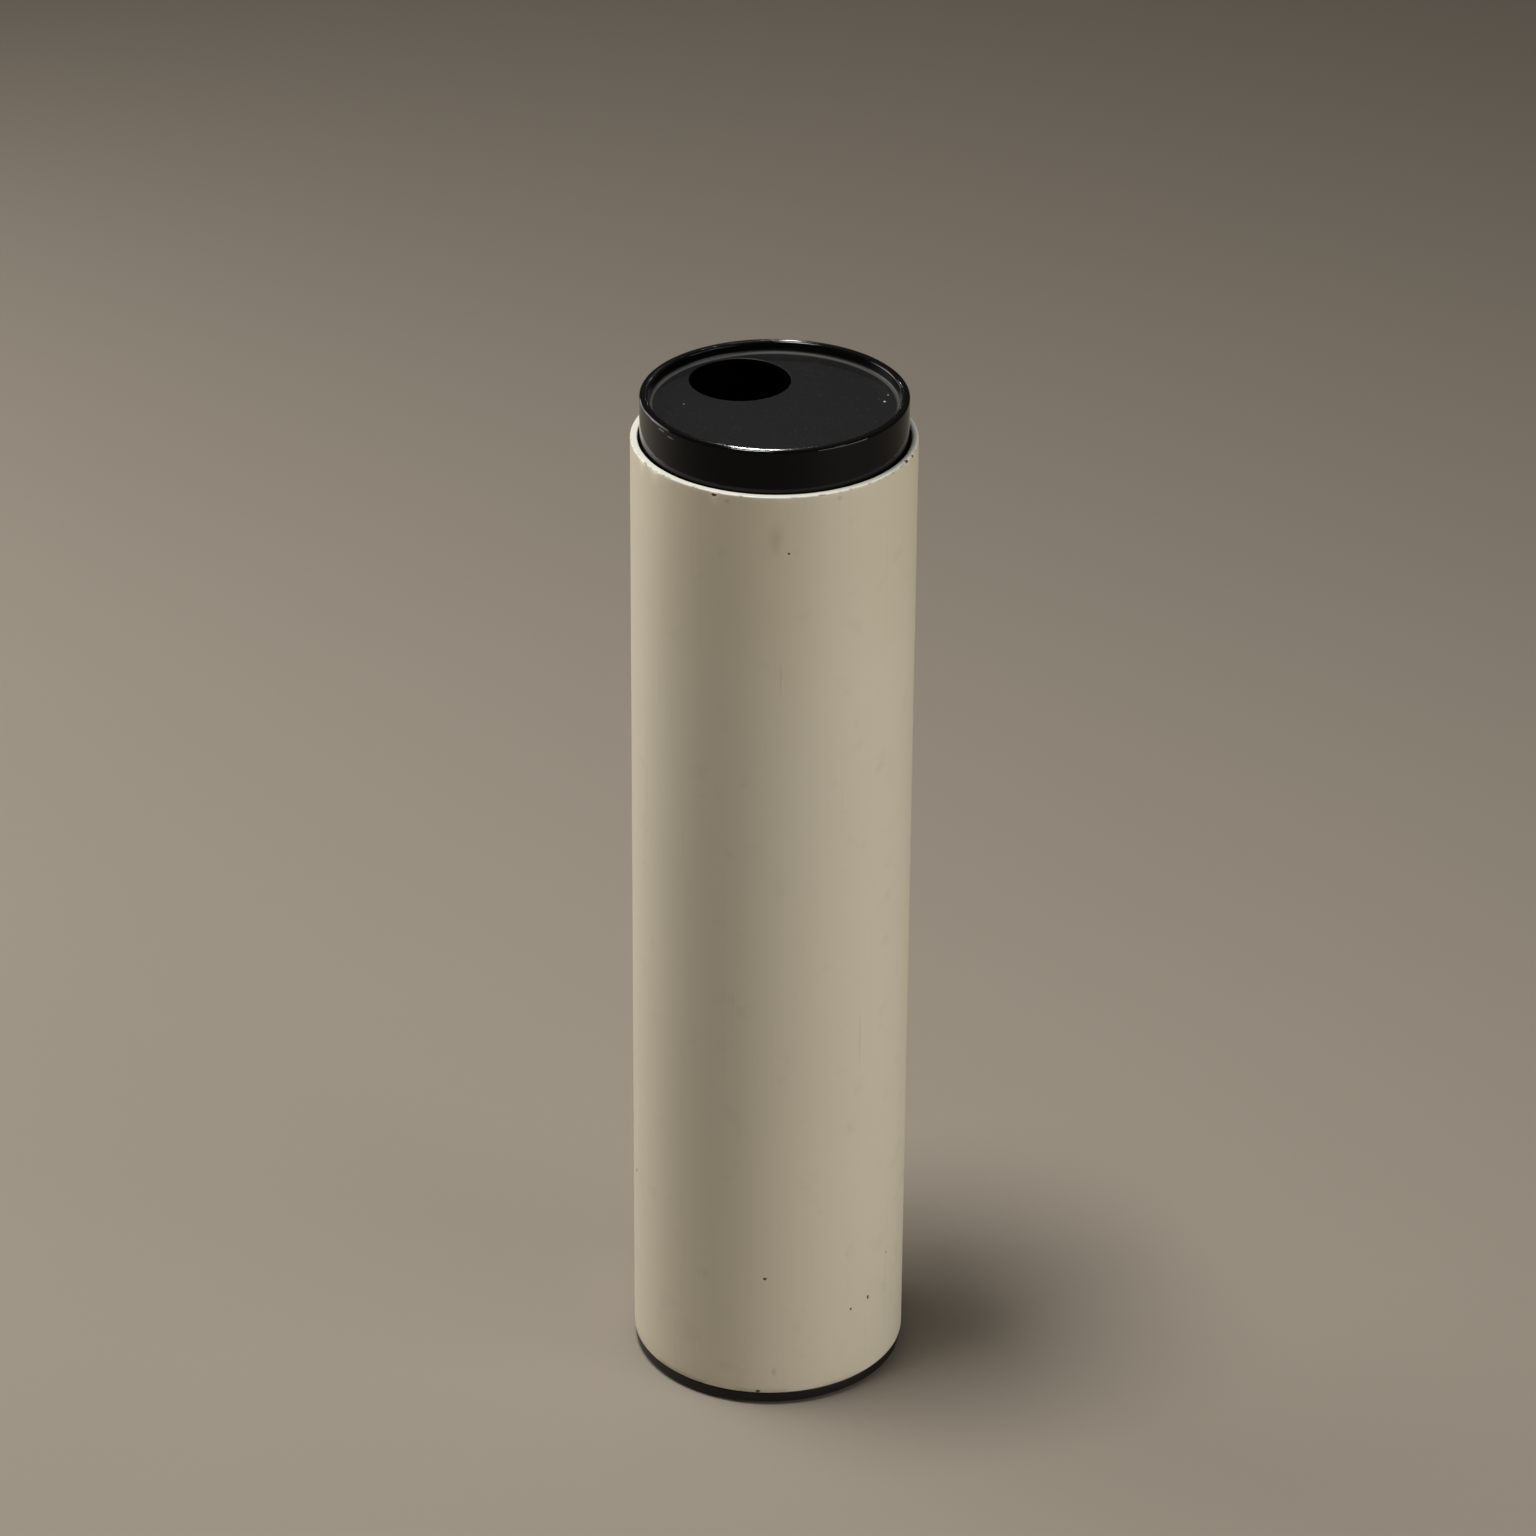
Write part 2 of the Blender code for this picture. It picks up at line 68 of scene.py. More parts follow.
# %% [markdown]
# Most pieces are round about the Z axis, so four numbers describe a node well enough to rebuild it:
# the smallest and largest distance from the axis, and the lowest and highest point. They are read
# from the node's own points, which keeps the finer pieces true if the model changes.

# %% Read the turned nodes
Span = namedtuple("Span", "inner outer low high")


def span(node):
    low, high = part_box(node)
    radii = [hypot(v.co.x, v.co.y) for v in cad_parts[node].data.vertices]
    return Span(min(radii), max(radii), low.z, high.z)


tube = span("body_tube")
foot = span("base_foot")
cap = span("ash_cap")
gasket = span("cap_gasket")
seat = span("cap_seat_ring")
wall = span("bucket_wall")
plate = span("bucket_bottom")
weight = span("ballast_weight")
print("tube", [round(1000 * value, 2) for value in tube])
print("cap", [round(1000 * value, 2) for value in cap])

# %% [markdown]
# ## Camera
# A long lens from a step back and above keeps the tube's sides almost parallel. The drop hole is
# behind the middle and to the left, so the camera stands to the left of the -Y axis. A camera
# looks along its own -Z. It is rolled about that axis first, then raised from looking straight
# down, and last turned round the upright axis, so its rotation is those three in a row.

# %% Place the camera
CAMERA_AZIMUTH = radians(-30.48)
CAMERA_REACH = 2.935
CAMERA_HEIGHT = 1.968
CAMERA_PITCH = radians(28.36)
CAMERA_YAW = radians(0.044)
CAMERA_ROLL = radians(0.399)
LENS = 136.97
NEAREST_SEEN = 0.05

camera = bpy.data.objects.new("camera", bpy.data.cameras.new("camera"))
bpy.context.scene.collection.objects.link(camera)
camera.data.lens = LENS
camera.data.clip_start = NEAREST_SEEN
camera.location = (CAMERA_REACH * sin(CAMERA_AZIMUTH), -CAMERA_REACH * cos(CAMERA_AZIMUTH),
                   CAMERA_HEIGHT)
turn = Matrix.Rotation(CAMERA_AZIMUTH + CAMERA_YAW, 4, "Z")
tilt = Matrix.Rotation(pi / 2 - CAMERA_PITCH, 4, "X")
camera.rotation_euler = (turn @ tilt @ Matrix.Rotation(CAMERA_ROLL, 4, "Z")).to_euler()
bpy.context.scene.camera = camera
print("camera at", [round(value, 3) for value in camera.location])

# %% [markdown]
# ## Tools for turned pieces
# A turned piece is an outline spun once around an axis. An outline is written as corners with a
# fillet radius each, and the fillets are worked out as arcs, because no moulded, pressed or sawn
# edge on the real object is perfectly sharp, and a small round edge is what catches the light.

# %% Outline with round corners
FILLET_STEPS = 6
WELD = 1e-6
SHARP = radians(40)


def rounded(corners, closed=True):
    """Corners (radius, height, fillet) to points, the fillets as arcs."""
    points = []
    last = len(corners) - 1
    for index, (r, z, fillet) in enumerate(corners):
        corner = Vector((r, z))
        at_end = not closed and index in (0, last)
        if fillet == 0 or at_end:
            points.append(corner)
            continue
        back = (Vector(corners[index - 1][:2]) - corner).normalized()
        ahead = (Vector(corners[(index + 1) % len(corners)][:2]) - corner).normalized()
        half_turn = back.angle(ahead) / 2
        centre = corner + (back + ahead).normalized() * fillet / sin(half_turn)
        first = corner + back * fillet / tan(half_turn) - centre
        final = corner + ahead * fillet / tan(half_turn) - centre
        for step in range(FILLET_STEPS + 1):
            spoke = first.lerp(final, step / FILLET_STEPS).normalized()
            points.append(centre + spoke * fillet)
    return points


print("each fillet takes", FILLET_STEPS + 1, "points")

# %% [markdown]
# The spin operator turns a chain of edges about an axis. A closed outline gives a ring with a
# thickness, and an open one that begins and ends on the axis gives a solid. A full turn merges its
# last ring into its first, or a seam would show there.

# %% Spin an outline
def spin(build, points, steps, closed=True, centre=(0, 0, 0)):
    """Spin (radius, height) points once around the upright axis through the centre."""
    start = [build.verts.new((centre[0] + r, centre[1], centre[2] + z)) for r, z in points]
    pairs = zip(start, start[1:] + start[:1])
    if not closed:
        pairs = zip(start, start[1:])
    edges = [build.edges.new(pair) for pair in pairs]
    bmesh.ops.spin(build, geom=start + edges, cent=centre, axis=(0, 0, 1), dvec=(0, 0, 0),
                   angle=tau, steps=steps, use_merge=True, use_duplicate=False)


# %% [markdown]
# Every piece ends the same way: doubles are merged, the faces are turned outwards, the mesh is
# shaded smooth up to its sharp edges, and the piece rides on its body and hides the solid that it
# stands for. One helper keeps those steps in one order, so that no piece misses one.

# %% Finish a piece
def keep(name, build, body, finish, stands_for=(), flat_faces_first=False):
    bmesh.ops.remove_doubles(build, verts=build.verts, dist=WELD)
    bmesh.ops.recalc_face_normals(build, faces=build.faces)
    mesh = bpy.data.meshes.new(name)
    build.to_mesh(mesh)
    build.free()
    mesh.shade_smooth()
    mesh.set_sharp_from_angle(angle=SHARP)
    mesh.materials.append(finish)
    made = bpy.data.objects.new(name, mesh)
    bpy.context.scene.collection.objects.link(made)
    if flat_faces_first:
        weigh = made.modifiers.new("flat faces keep their normal", "WEIGHTED_NORMAL")
        weigh.keep_sharp = True
    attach(made, body)
    if stands_for:
        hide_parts(*stands_for)
    print(f"{name}: {len(mesh.polygons)} faces, rides on {body}")


# %% [markdown]
# ## Tools for finishes
# Shader arithmetic reads best as arithmetic. A Value wraps a socket, and sums and products of
# Values add the Math nodes. Written node by node, one mask would take a dozen lines.

# %% Socket arithmetic
class Value:
    """One output socket that can be used in a sum."""

    def __init__(self, finish, socket):
        self.finish = finish
        self.socket = socket

    def math(self, operation, *others):
        inputs = dict(enumerate((self,) + others))
        return self.finish.add("ShaderNodeMath", {"operation": operation}, inputs)

    def __add__(self, other):
        return self.math("ADD", other)

    def __mul__(self, other):
        return self.math("MULTIPLY", other)

    def __sub__(self, other):
        return self.math("SUBTRACT", other)

    def __rsub__(self, other):
        return self.math("MULTIPLY_ADD", -1.0, other)

    def __or__(self, other):
        return self.math("MAXIMUM", other)

    __radd__ = __add__
    __rmul__ = __mul__

    def rise(self, start, end):
        """0 before start and 1 after end, with a smooth step between."""
        return self.finish.add("ShaderNodeMapRange", {"interpolation_type": "SMOOTHSTEP"},
                               {"Value": self, "From Min": start, "From Max": end})

    def fall(self, start, end):
        return 1.0 - self.rise(start, end)


# %% [markdown]
# A Finish holds one material's node tree. Every other node is made through one method, and the few
# patterns that several finishes share are methods too: noise, a stretched noise for streaks, the
# distance from an axis, and an oval spot for a mark at a known place. They all read the object's
# own coordinates, so a pattern moves with its piece.

# %% Finish built from nodes
class Finish:
    """A material whose nodes are added one by one around a Principled shader."""

    def __init__(self, name):
        self.material = bpy.data.materials.new(name)
        self.material.use_nodes = True
        self.nodes = self.material.node_tree.nodes
        self.links = self.material.node_tree.links
        self.shader = self.nodes["Principled BSDF"]
        self.place = self.add("ShaderNodeTexCoord", output="Object")

    def add(self, kind, settings=None, inputs=None, output=0):
        node = self.nodes.new(kind)
        for key, setting in (settings or {}).items():
            setattr(node, key, setting)
        for key, source in (inputs or {}).items():
            self.feed(node.inputs[key], source)
        return Value(self, node.outputs[output])

    def feed(self, socket, source):
        if isinstance(source, Value):
            self.links.new(source.socket, socket)
        else:
            socket.default_value = source

    def set(self, **inputs):
        """Feed the shader's own sockets, named with underscores for spaces."""
        for key, source in inputs.items():
            self.feed(self.shader.inputs[key.replace("_", " ")], source)
        return self.material

    def noise(self, scale, detail=2.0, at=None, output="Fac"):
        return self.add("ShaderNodeTexNoise", None,
                        {"Vector": at or self.place, "Scale": scale, "Detail": detail}, output)

    def stretched(self, x, y, z):
        """The place, scaled by a factor along each axis."""
        return self.add("ShaderNodeMapping", None,
                        {"Vector": self.place, "Scale": (x, y, z)})

    def mix(self, factor, first, second):
        """A colour between two colours."""
        return self.add("ShaderNodeMix", {"data_type": "RGBA"},
                        {0: factor, 6: first, 7: second}, 2)

    def axis(self, letter):
        return self.add("ShaderNodeSeparateXYZ", None, {0: self.place}, letter)

    def radius(self, centre=(0, 0, 0)):
        """Distance from an upright axis through the centre."""
        flat = self.add("ShaderNodeVectorMath", {"operation": "MULTIPLY_ADD"},
                        {0: self.place, 1: (1, 1, 0), 2: (-centre[0], -centre[1], 0)})
        return self.add("ShaderNodeVectorMath", {"operation": "LENGTH"}, {0: flat}, "Value")

    def spot(self, centre, width, height):
        """0 in the middle of an upright oval patch and 1 on its edge."""
        offset = self.add("ShaderNodeVectorMath", {"operation": "SUBTRACT"},
                          {0: self.place, 1: centre})
        scale = (2 / width, 2 / width, 2 / height)
        shape = self.add("ShaderNodeVectorMath", {"operation": "MULTIPLY"},
                         {0: offset, 1: scale})
        return self.add("ShaderNodeVectorMath", {"operation": "LENGTH"}, {0: shape}, "Value")

    def bump(self, height, distance, strength=1.0):
        return self.add("ShaderNodeBump", None, {"Height": height, "Distance": distance,
                                                 "Strength": strength})


def colour(r, g, b):
    return (r, g, b, 1.0)


def on_wall(radius, angle, height):
    """A point on an upright wall, at an angle in degrees from +X."""
    return (radius * cos(radians(angle)), radius * sin(radians(angle)), height)


# %% [markdown]
# ## The lacquer
# The tube is sprayed cream and has aged: it is yellower near the mouth, where smoke and hands
# reach it, slightly uneven in tone, and faintly streaked lengthwise. It carries a few knocks down
# to dark metal, most of them low down, one brown stain near the top, and a worn edge at the
# mouth. Its flat lip is painted a paler tone, a painted highlight for the light from above.
# Inside, the spray thins out to a dull primer. Marks whose place matters are ovals with a ragged
# edge, and the rest is noise, so no image is needed.

# %% Cream lacquer
CREAM = colour(0.640, 0.575, 0.440)
AGED = colour(0.610, 0.525, 0.370)
BARE = colour(0.045, 0.036, 0.028)
GRIME = colour(0.200, 0.165, 0.115)
STAIN = colour(0.370, 0.270, 0.180)
PRIMER = colour(0.150, 0.140, 0.120)
# paler tone for the mouth's flat lip: a painted highlight for the light from above
PAINTED_LIP_LIGHT = colour(0.480, 0.475, 0.420)
UNEVEN = colour(0.56, 0.51, 0.40)
STAIN_ANGLE = -119.6
STAIN_HEIGHT = 0.5665
STAIN_WIDTH = 0.0115
STAIN_TALL = 0.0260
KNOCKS = (
    # angle, height, width, height of the knock, in degrees and metres
    (-114.5, 0.5592, 0.0017, 0.0024),
    (-121.9, 0.0885, 0.0032, 0.0026),
    (-83.0, 0.0571, 0.0021, 0.0026),
    (-73.2, 0.0595, 0.0022, 0.0040),
    (-60.6, 0.0819, 0.0013, 0.0022),
    (-124.5, 0.0097, 0.0036, 0.0026),
    (-144.6, 0.5913, 0.0046, 0.0024),
    (-54.0, 0.5926, 0.0060, 0.0022),
    (-48.0, 0.5922, 0.0038, 0.0024),
    (-20.0, 0.0420, 0.0030, 0.0030),
    (31.0, 0.3350, 0.0018, 0.0026),
    (74.0, 0.0160, 0.0040, 0.0030),
    (118.0, 0.5880, 0.0036, 0.0028),
    (163.0, 0.1240, 0.0022, 0.0034),
)
SMUDGES = (
    # angle, height, width, height of a faint smudge or scratch
    (-117.8, 0.0233, 0.0040, 0.0085),
    (-139.1, 0.5890, 0.0048, 0.0040),
    (-93.9, 0.5893, 0.0040, 0.0036),
    (-117.2, 0.4820, 0.0010, 0.0300),
    (-80.4, 0.2401, 0.0012, 0.0480),
    (96.0, 0.2100, 0.0012, 0.0600),
    (20.0, 0.5600, 0.0100, 0.0140),
)


def cream_lacquer():
    finish = Finish("cream_lacquer")
    height = finish.axis("Z")
    reach = finish.radius()
    ragged = finish.noise(1100.0, 3.0)
    cloud = finish.noise(9.0, 2.0)
    fine = finish.noise(60.0, 4.0)
    streak = finish.noise(1.0, 3.0, finish.stretched(420.0, 420.0, 7.0))

    ageing = (height + cloud * 0.16).rise(0.48, 0.72)
    tone = finish.mix(ageing * 0.75, CREAM, AGED)
    tone = finish.mix((cloud - 0.5) * 0.35 + 0.10, tone, UNEVEN)
    tone = finish.mix(fine.rise(0.56, 0.80) * 0.10, tone, GRIME)
    tone = finish.mix(streak.rise(0.60, 0.78) * 0.05, tone, GRIME)
    # The flat lip is painted paler: a painted highlight where the light from above falls on it.
    lip = height.rise(tube.high - 0.0010, tube.high - 0.0004)
    tone = finish.mix(lip * 0.85, tone, PAINTED_LIP_LIGHT)

    smudge = None
    for angle, level, width, tall in SMUDGES:
        soft = finish.spot(on_wall(tube.outer, angle, level), width, tall)
        soft = (soft + ragged * 0.9).fall(0.5, 1.5)
        smudge = soft if smudge is None else smudge | soft
    tone = finish.mix(smudge * 0.30, tone, GRIME)
    stain_at = on_wall(tube.outer, STAIN_ANGLE, STAIN_HEIGHT)
    brown = finish.spot(stain_at, STAIN_WIDTH, STAIN_TALL)
    brown = (brown + fine * 1.2).fall(0.5, 1.7)
    tone = finish.mix(brown * 0.34, tone, STAIN)

    knock = None
    for angle, level, width, tall in KNOCKS:
        hard = finish.spot(on_wall(tube.outer, angle, level), width, tall)
        hard = (hard + ragged * 0.9).fall(0.95, 1.35)
        knock = hard if knock is None else knock | hard
    worn_edge = height.rise(tube.high - 0.0016, tube.high - 0.0006)
    worn_edge = worn_edge * reach.rise(tube.outer - 0.0009, tube.outer - 0.0004)
    worn_edge = worn_edge * finish.noise(260.0, 5.0).rise(0.52, 0.66)
    foot_grime = height.fall(tube.low + 0.0005, tube.low + 0.004) * fine.rise(0.35, 0.7)
    tone = finish.mix(worn_edge * 0.75, tone, GRIME)
    tone = finish.mix(foot_grime * 0.45, tone, GRIME)
    tone = finish.mix(knock, tone, BARE)

    inside = reach.fall(tube.inner + 0.0002, tube.inner + 0.0010)
    inside = inside * height.fall(tube.high - 0.006, tube.high - 0.0012)
    tone = finish.mix(inside, tone, PRIMER)

    peel = finish.noise(520.0, 2.0)
    relief = peel * 0.25 - knock * 1.5 - worn_edge * 1.2 + streak * 0.12
    rough = 0.40 + (fine - 0.5) * 0.16 + knock * 0.35 + worn_edge * 0.2 + inside * 0.3
    return finish.set(Base_Color=tone, Roughness=rough, Specular_IOR_Level=0.5,
                      Normal=finish.bump(relief, 0.00012, 0.6))


cream = cream_lacquer()
print("cream lacquer:", len(cream.node_tree.nodes), "nodes")

# %% [markdown]
# ## The tube
# A plain wall with softly rounded ends. The mouth has been knocked over the years, so its outer
# edge has shallow nicks. A bump map could darken them, but they are pushed into the mesh, because a
# nick shows in the outline. Extra rings near each end keep the long wall out of the round edge's
# shading.

# %% Turn the tube and nick its mouth
TUBE_STEPS = 420
TUBE_EDGE = 0.0008
NICKS = (
    # angle in degrees, width and depth in metres
    (-54.0, 0.0035, 0.00070),
    (-48.0, 0.0022, 0.00045),
    (-62.0, 0.0030, 0.00035),
    (-144.6, 0.0028, 0.00045),
    (-176.0, 0.0050, 0.00040),
    (-186.0, 0.0035, 0.00045),
    (-100.0, 0.0018, 0.00020),
    (28.0, 0.0030, 0.00050),
    (105.0, 0.0040, 0.00040),
)
WAVER = 0.00016
WAVER_SCALE = 90.0
FOOT_END_RING = 0.010
MOUTH_RING = 0.003


def nick(point):
    """How far wear has eaten the mouth's outer edge at this point, in metres."""
    angle = atan2(point.y, point.x)
    depth = WAVER * max(0.0, noise.noise(point * WAVER_SCALE))
    for place, width, deep in NICKS:
        away = (angle - radians(place) + pi) % tau - pi
        depth += deep * max(0.0, 1 - (away * tube.outer / width) ** 2)
    return depth


build = bmesh.new()
spin(build, rounded([
    (tube.outer, tube.low, TUBE_EDGE), (tube.outer, tube.low + FOOT_END_RING, 0),
    (tube.outer, tube.high - FOOT_END_RING, 0), (tube.outer, tube.high - MOUTH_RING, 0),
    (tube.outer, tube.high, TUBE_EDGE), (tube.inner, tube.high, TUBE_EDGE),
    (tube.inner, tube.high - MOUTH_RING, 0), (tube.inner, tube.low, 0),
]), TUBE_STEPS)
for vert in build.verts:
    near_mouth = max(0.0, 1 - (tube.high - vert.co.z) / (3 * TUBE_EDGE))
    from_outside = tube.outer - hypot(vert.co.x, vert.co.y)
    near_outside = max(0.0, 1 - from_outside / (2 * TUBE_EDGE))
    inwards = Vector((-vert.co.x, -vert.co.y, 0)).normalized()
    eaten = nick(vert.co) * near_mouth * near_outside
    vert.co += (inwards + Vector((0, 0, -1))) * eaten
keep("tube_shell", build, "stand", cream, ["body_tube"])

# %% [markdown]
# ## Black mouldings
# The cap is a glossy black moulding. Ash has dulled its floor, and stubs and keys have left fine
# scratches. A pale line in the corner round the floor is partly ash and partly a painted highlight
# along the fillet, and pale scuffs on the outer wall are partly rubbed plastic and partly painted
# highlights. One material covers it all, and masks made from the distance to the axis and the
# height choose where it is dull, dusty, scratched or painted lighter. Cutting the cap into a glossy
# piece and a dull one would leave a seam in the fillet.

# %% Glossy black dish
HOLE_OFFSET = 0.0381
HOLE_RADIUS = 0.0284
HOLE_EDGE = 0.0006
RIM_WIDTH = 0.0046
RIM_FILLET = 0.0013
DISH_DEPTH = 0.0064
DISH_DRAFT = 0.0008
DISH_FILLET = 0.0018
CAP_FLOOR = 0.003
CAP_WALL = 0.0035
DEEP_BLACK = colour(0.0022, 0.0021, 0.0021)
ASHED_BLACK = colour(0.0030, 0.0031, 0.0031)
# pale corner line: ash, with a painted highlight along the fillet
ASH_AND_FILLET_SHEEN = colour(0.062, 0.059, 0.054)
HAIRLINE = colour(0.050, 0.050, 0.048)
# pale grey of the scuffs: partly rubbed plastic, partly a painted highlight
RUBBED_AND_GLINT = colour(0.200, 0.200, 0.200)
SCRATCHED = colour(0.340, 0.330, 0.300)

dish_z = cap.high - DISH_DEPTH
dish_foot = cap.outer - RIM_WIDTH - DISH_DRAFT
SCUFFS_AND_GLINTS = (
    # angle, height, width, height of a scuff on the cap's outer wall, painted pale as a highlight
    # too
    (-176.0, 0.6155, 0.0085, 0.0014),
    (-170.0, 0.6140, 0.0075, 0.0010),
    (44.0, 0.6080, 0.0080, 0.0014),
)
CHALK_MARKS = (
    # angle, distance from the axis, width and length of a pale scratch in the dish
    (-18.4, 0.0643, 0.0012, 0.0018),
    (-26.1, 0.0609, 0.0022, 0.0013),
    (-22.5, 0.0585, 0.0006, 0.0008),
    (150.0, 0.0500, 0.0009, 0.0011),
)


def black_dish():
    finish = Finish("black_dish")
    reach = finish.radius()
    height = finish.axis("Z")
    grain = finish.noise(900.0, 3.0)
    cloud = finish.noise(40.0, 3.0)
    hairline = finish.noise(1.0, 2.0, finish.stretched(260.0, 1900.0, 300.0))
    cross = finish.noise(1.0, 2.0, finish.stretched(1700.0, 240.0, 300.0))

    in_dish = reach.fall(dish_foot - 0.0006, dish_foot + 0.0004)
    in_dish = in_dish * height.rise(dish_z - 0.0012, dish_z - 0.0002)
    # The corner line is partly ash and partly a painted highlight along the dish's fillet.
    corner = reach.rise(dish_foot - 0.0022, dish_foot - 0.0011)
    corner = corner * reach.fall(dish_foot - 0.0002, dish_foot + 0.0004)
    corner = corner * height.rise(dish_z - 0.0005, dish_z)
    corner = corner * height.fall(dish_z + 0.001, dish_z + 0.003)
    corner = corner * (0.45 + cloud * 0.9)
    lines = (hairline.rise(0.66, 0.74) | cross.rise(0.67, 0.75)) * in_dish

    marks = None
    for angle, away, width, length in CHALK_MARKS:
        mark = finish.spot(on_wall(away, angle, dish_z), width, length)
        mark = (mark + grain * 1.2).fall(0.9, 1.5)
        marks = mark if marks is None else marks | mark
    # Pale patches below the rim: partly rubbed plastic, partly painted highlights of the rim's
    # glints.
    scuffs_and_glints = None
    for angle, level, width, tall in SCUFFS_AND_GLINTS:
        scuff_glint = finish.spot(on_wall(cap.outer, angle, level), width, tall)
        scuff_glint = (scuff_glint + grain * 1.6).fall(0.9, 1.9)
        scuffs_and_glints = scuff_glint if scuffs_and_glints is None else scuffs_and_glints | scuff_glint

    tone = finish.mix(in_dish * (0.55 + cloud * 0.7), DEEP_BLACK, ASHED_BLACK)
    tone = finish.mix(corner * 0.55, tone, ASH_AND_FILLET_SHEEN)
    tone = finish.mix(lines * 0.25, tone, HAIRLINE)
    tone = finish.mix(scuffs_and_glints * 0.80, tone, RUBBED_AND_GLINT)
    tone = finish.mix(marks, tone, SCRATCHED)
    rough = 0.040 + in_dish * 0.45 + cloud * 0.03 + corner * 0.12 + lines * 0.12
    rough = rough + (scuffs_and_glints | marks) * 0.25
    relief = grain * 0.05 * in_dish + lines * -0.5 + finish.noise(120.0) * 0.35 + marks
    return finish.set(Base_Color=tone, Roughness=rough, Specular_IOR_Level=0.2,
                      Normal=finish.bump(relief, 0.00005, 0.25))


black_gloss = black_dish()
print("black dish:", len(black_gloss.node_tree.nodes), "nodes")

# %% [markdown]
# ## The cap
# The hole isn't on the cap's axis, so one spin can't make both. The cap is turned as an open shell
# that stops just inside the corner of its floor, and the hole's round edge is turned on its own
# axis. A flat fill between their loops makes the floor's top, and another its underside. A bridge
# would twist here, because the hole nearly touches the corner on one side. The faces of a fill are
# long and thin, so the flat ones are weighted, which keeps the floor from shading like a cone.

# %% Turn the cap and fill its floor
CAP_STEPS = 256
LEDGE = 0.0002
SKIRT_EDGE = 0.0006
INNER_FILLET = 0.0015
GROOVE_PLAY = 0.0003
HOLE_LEDGE = 0.0001
UNDER_EDGE = 0.0005

under_z = dish_z - CAP_FLOOR
skirt_bore = cap.outer - CAP_WALL
groove = gasket.inner - GROOVE_PLAY
build = bmesh.new()
spin(build, rounded([
    (dish_foot - DISH_FILLET - LEDGE, dish_z, 0),
    (dish_foot, dish_z, DISH_FILLET),
    (cap.outer - RIM_WIDTH, cap.high, RIM_FILLET),
    (cap.outer, cap.high, RIM_FILLET),
    (cap.outer, gasket.high + GROOVE_PLAY, 0),
    (groove, gasket.high + GROOVE_PLAY, 0),
    (groove, gasket.low - GROOVE_PLAY, 0),
    (cap.outer, gasket.low - GROOVE_PLAY, 0),
    (cap.outer, cap.low, SKIRT_EDGE),
    (skirt_bore, cap.low, SKIRT_EDGE),
    (skirt_bore, under_z, INNER_FILLET),
    (skirt_bore - INNER_FILLET - LEDGE, under_z, 0),
], closed=False), CAP_STEPS, closed=False)
spin(build, rounded([
    (HOLE_RADIUS + HOLE_EDGE + HOLE_LEDGE, dish_z, 0),
    (HOLE_RADIUS, dish_z, HOLE_EDGE),
    (HOLE_RADIUS, under_z, UNDER_EDGE),
    (HOLE_RADIUS + UNDER_EDGE + HOLE_LEDGE, under_z, 0),
], closed=False), CAP_STEPS, closed=False, centre=(0, HOLE_OFFSET, 0))
bmesh.ops.remove_doubles(build, verts=build.verts, dist=WELD)
for level in (dish_z, under_z):
    loops = [e for e in build.edges if e.is_boundary and abs(e.verts[0].co.z - level) < WELD]
    bmesh.ops.triangle_fill(build, edges=loops, use_beauty=True)
keep("dish_cap", build, "cap", black_gloss, ["ash_cap"], flat_faces_first=True)

# %% [markdown]
# ## Foot, ring, pads and gasket
# The foot's rim is what shows under the tube: nearly black, dull and a little dusty. The ring that
# carries the cap is a plain plastic, and the ring in the cap's groove and the pads are matt rubber.
# They differ in tone, dust, roughness and grain, so one function makes all four.

# %% Dull black finishes
def dull_black(name, tone, dust, roughness, grain_scale):
    finish = Finish(name)
    grain = finish.noise(grain_scale, 3.0)
    cloud = finish.noise(55.0, 3.0)
    surface = finish.mix(cloud.rise(0.42, 0.75) * 0.5, colour(*tone), colour(*dust))
    rough = roughness + (grain - 0.5) * 0.2
    return finish.set(Base_Color=surface, Roughness=rough, Specular_IOR_Level=0.3,
                      Normal=finish.bump(grain, 0.00006, 0.5))


moulding = dull_black("black_moulding", (0.006, 0.0035, 0.003), (0.014, 0.009, 0.008), 0.42, 700.0)
ring_plastic = dull_black("seat_plastic", (0.040, 0.040, 0.040), (0.07, 0.065, 0.06), 0.55, 500.0)
rubber = dull_black("gasket_rubber", (0.018, 0.018, 0.018), (0.04, 0.038, 0.035), 0.75, 900.0)
pad_rubber = dull_black("pad_rubber", (0.030, 0.029, 0.028), (0.09, 0.085, 0.08), 0.85, 600.0)
print("black finishes:", [made.name for made in (moulding, ring_plastic, rubber, pad_rubber)])

# %% [markdown]
# The foot is one moulding: a rim that the tube stands on, a spigot that goes up inside the tube,
# and a floor with a recess under it. All of it is round, so one closed outline does.

# %% Turn the foot
FOOT_STEPS = 220
FOOT_RIM_TOP = tube.low - 0.0003
FOOT_RECESS = 0.0058
FOOT_FLOOR = 0.004
FOOT_RIM_WIDTH = 0.012
SPIGOT_PLAY = 0.0003
SPIGOT_WALL = 0.003
FOOT_EDGE = 0.0009
SPIGOT_EDGE = 0.001
FOOT_BORE_EDGE = 0.0003

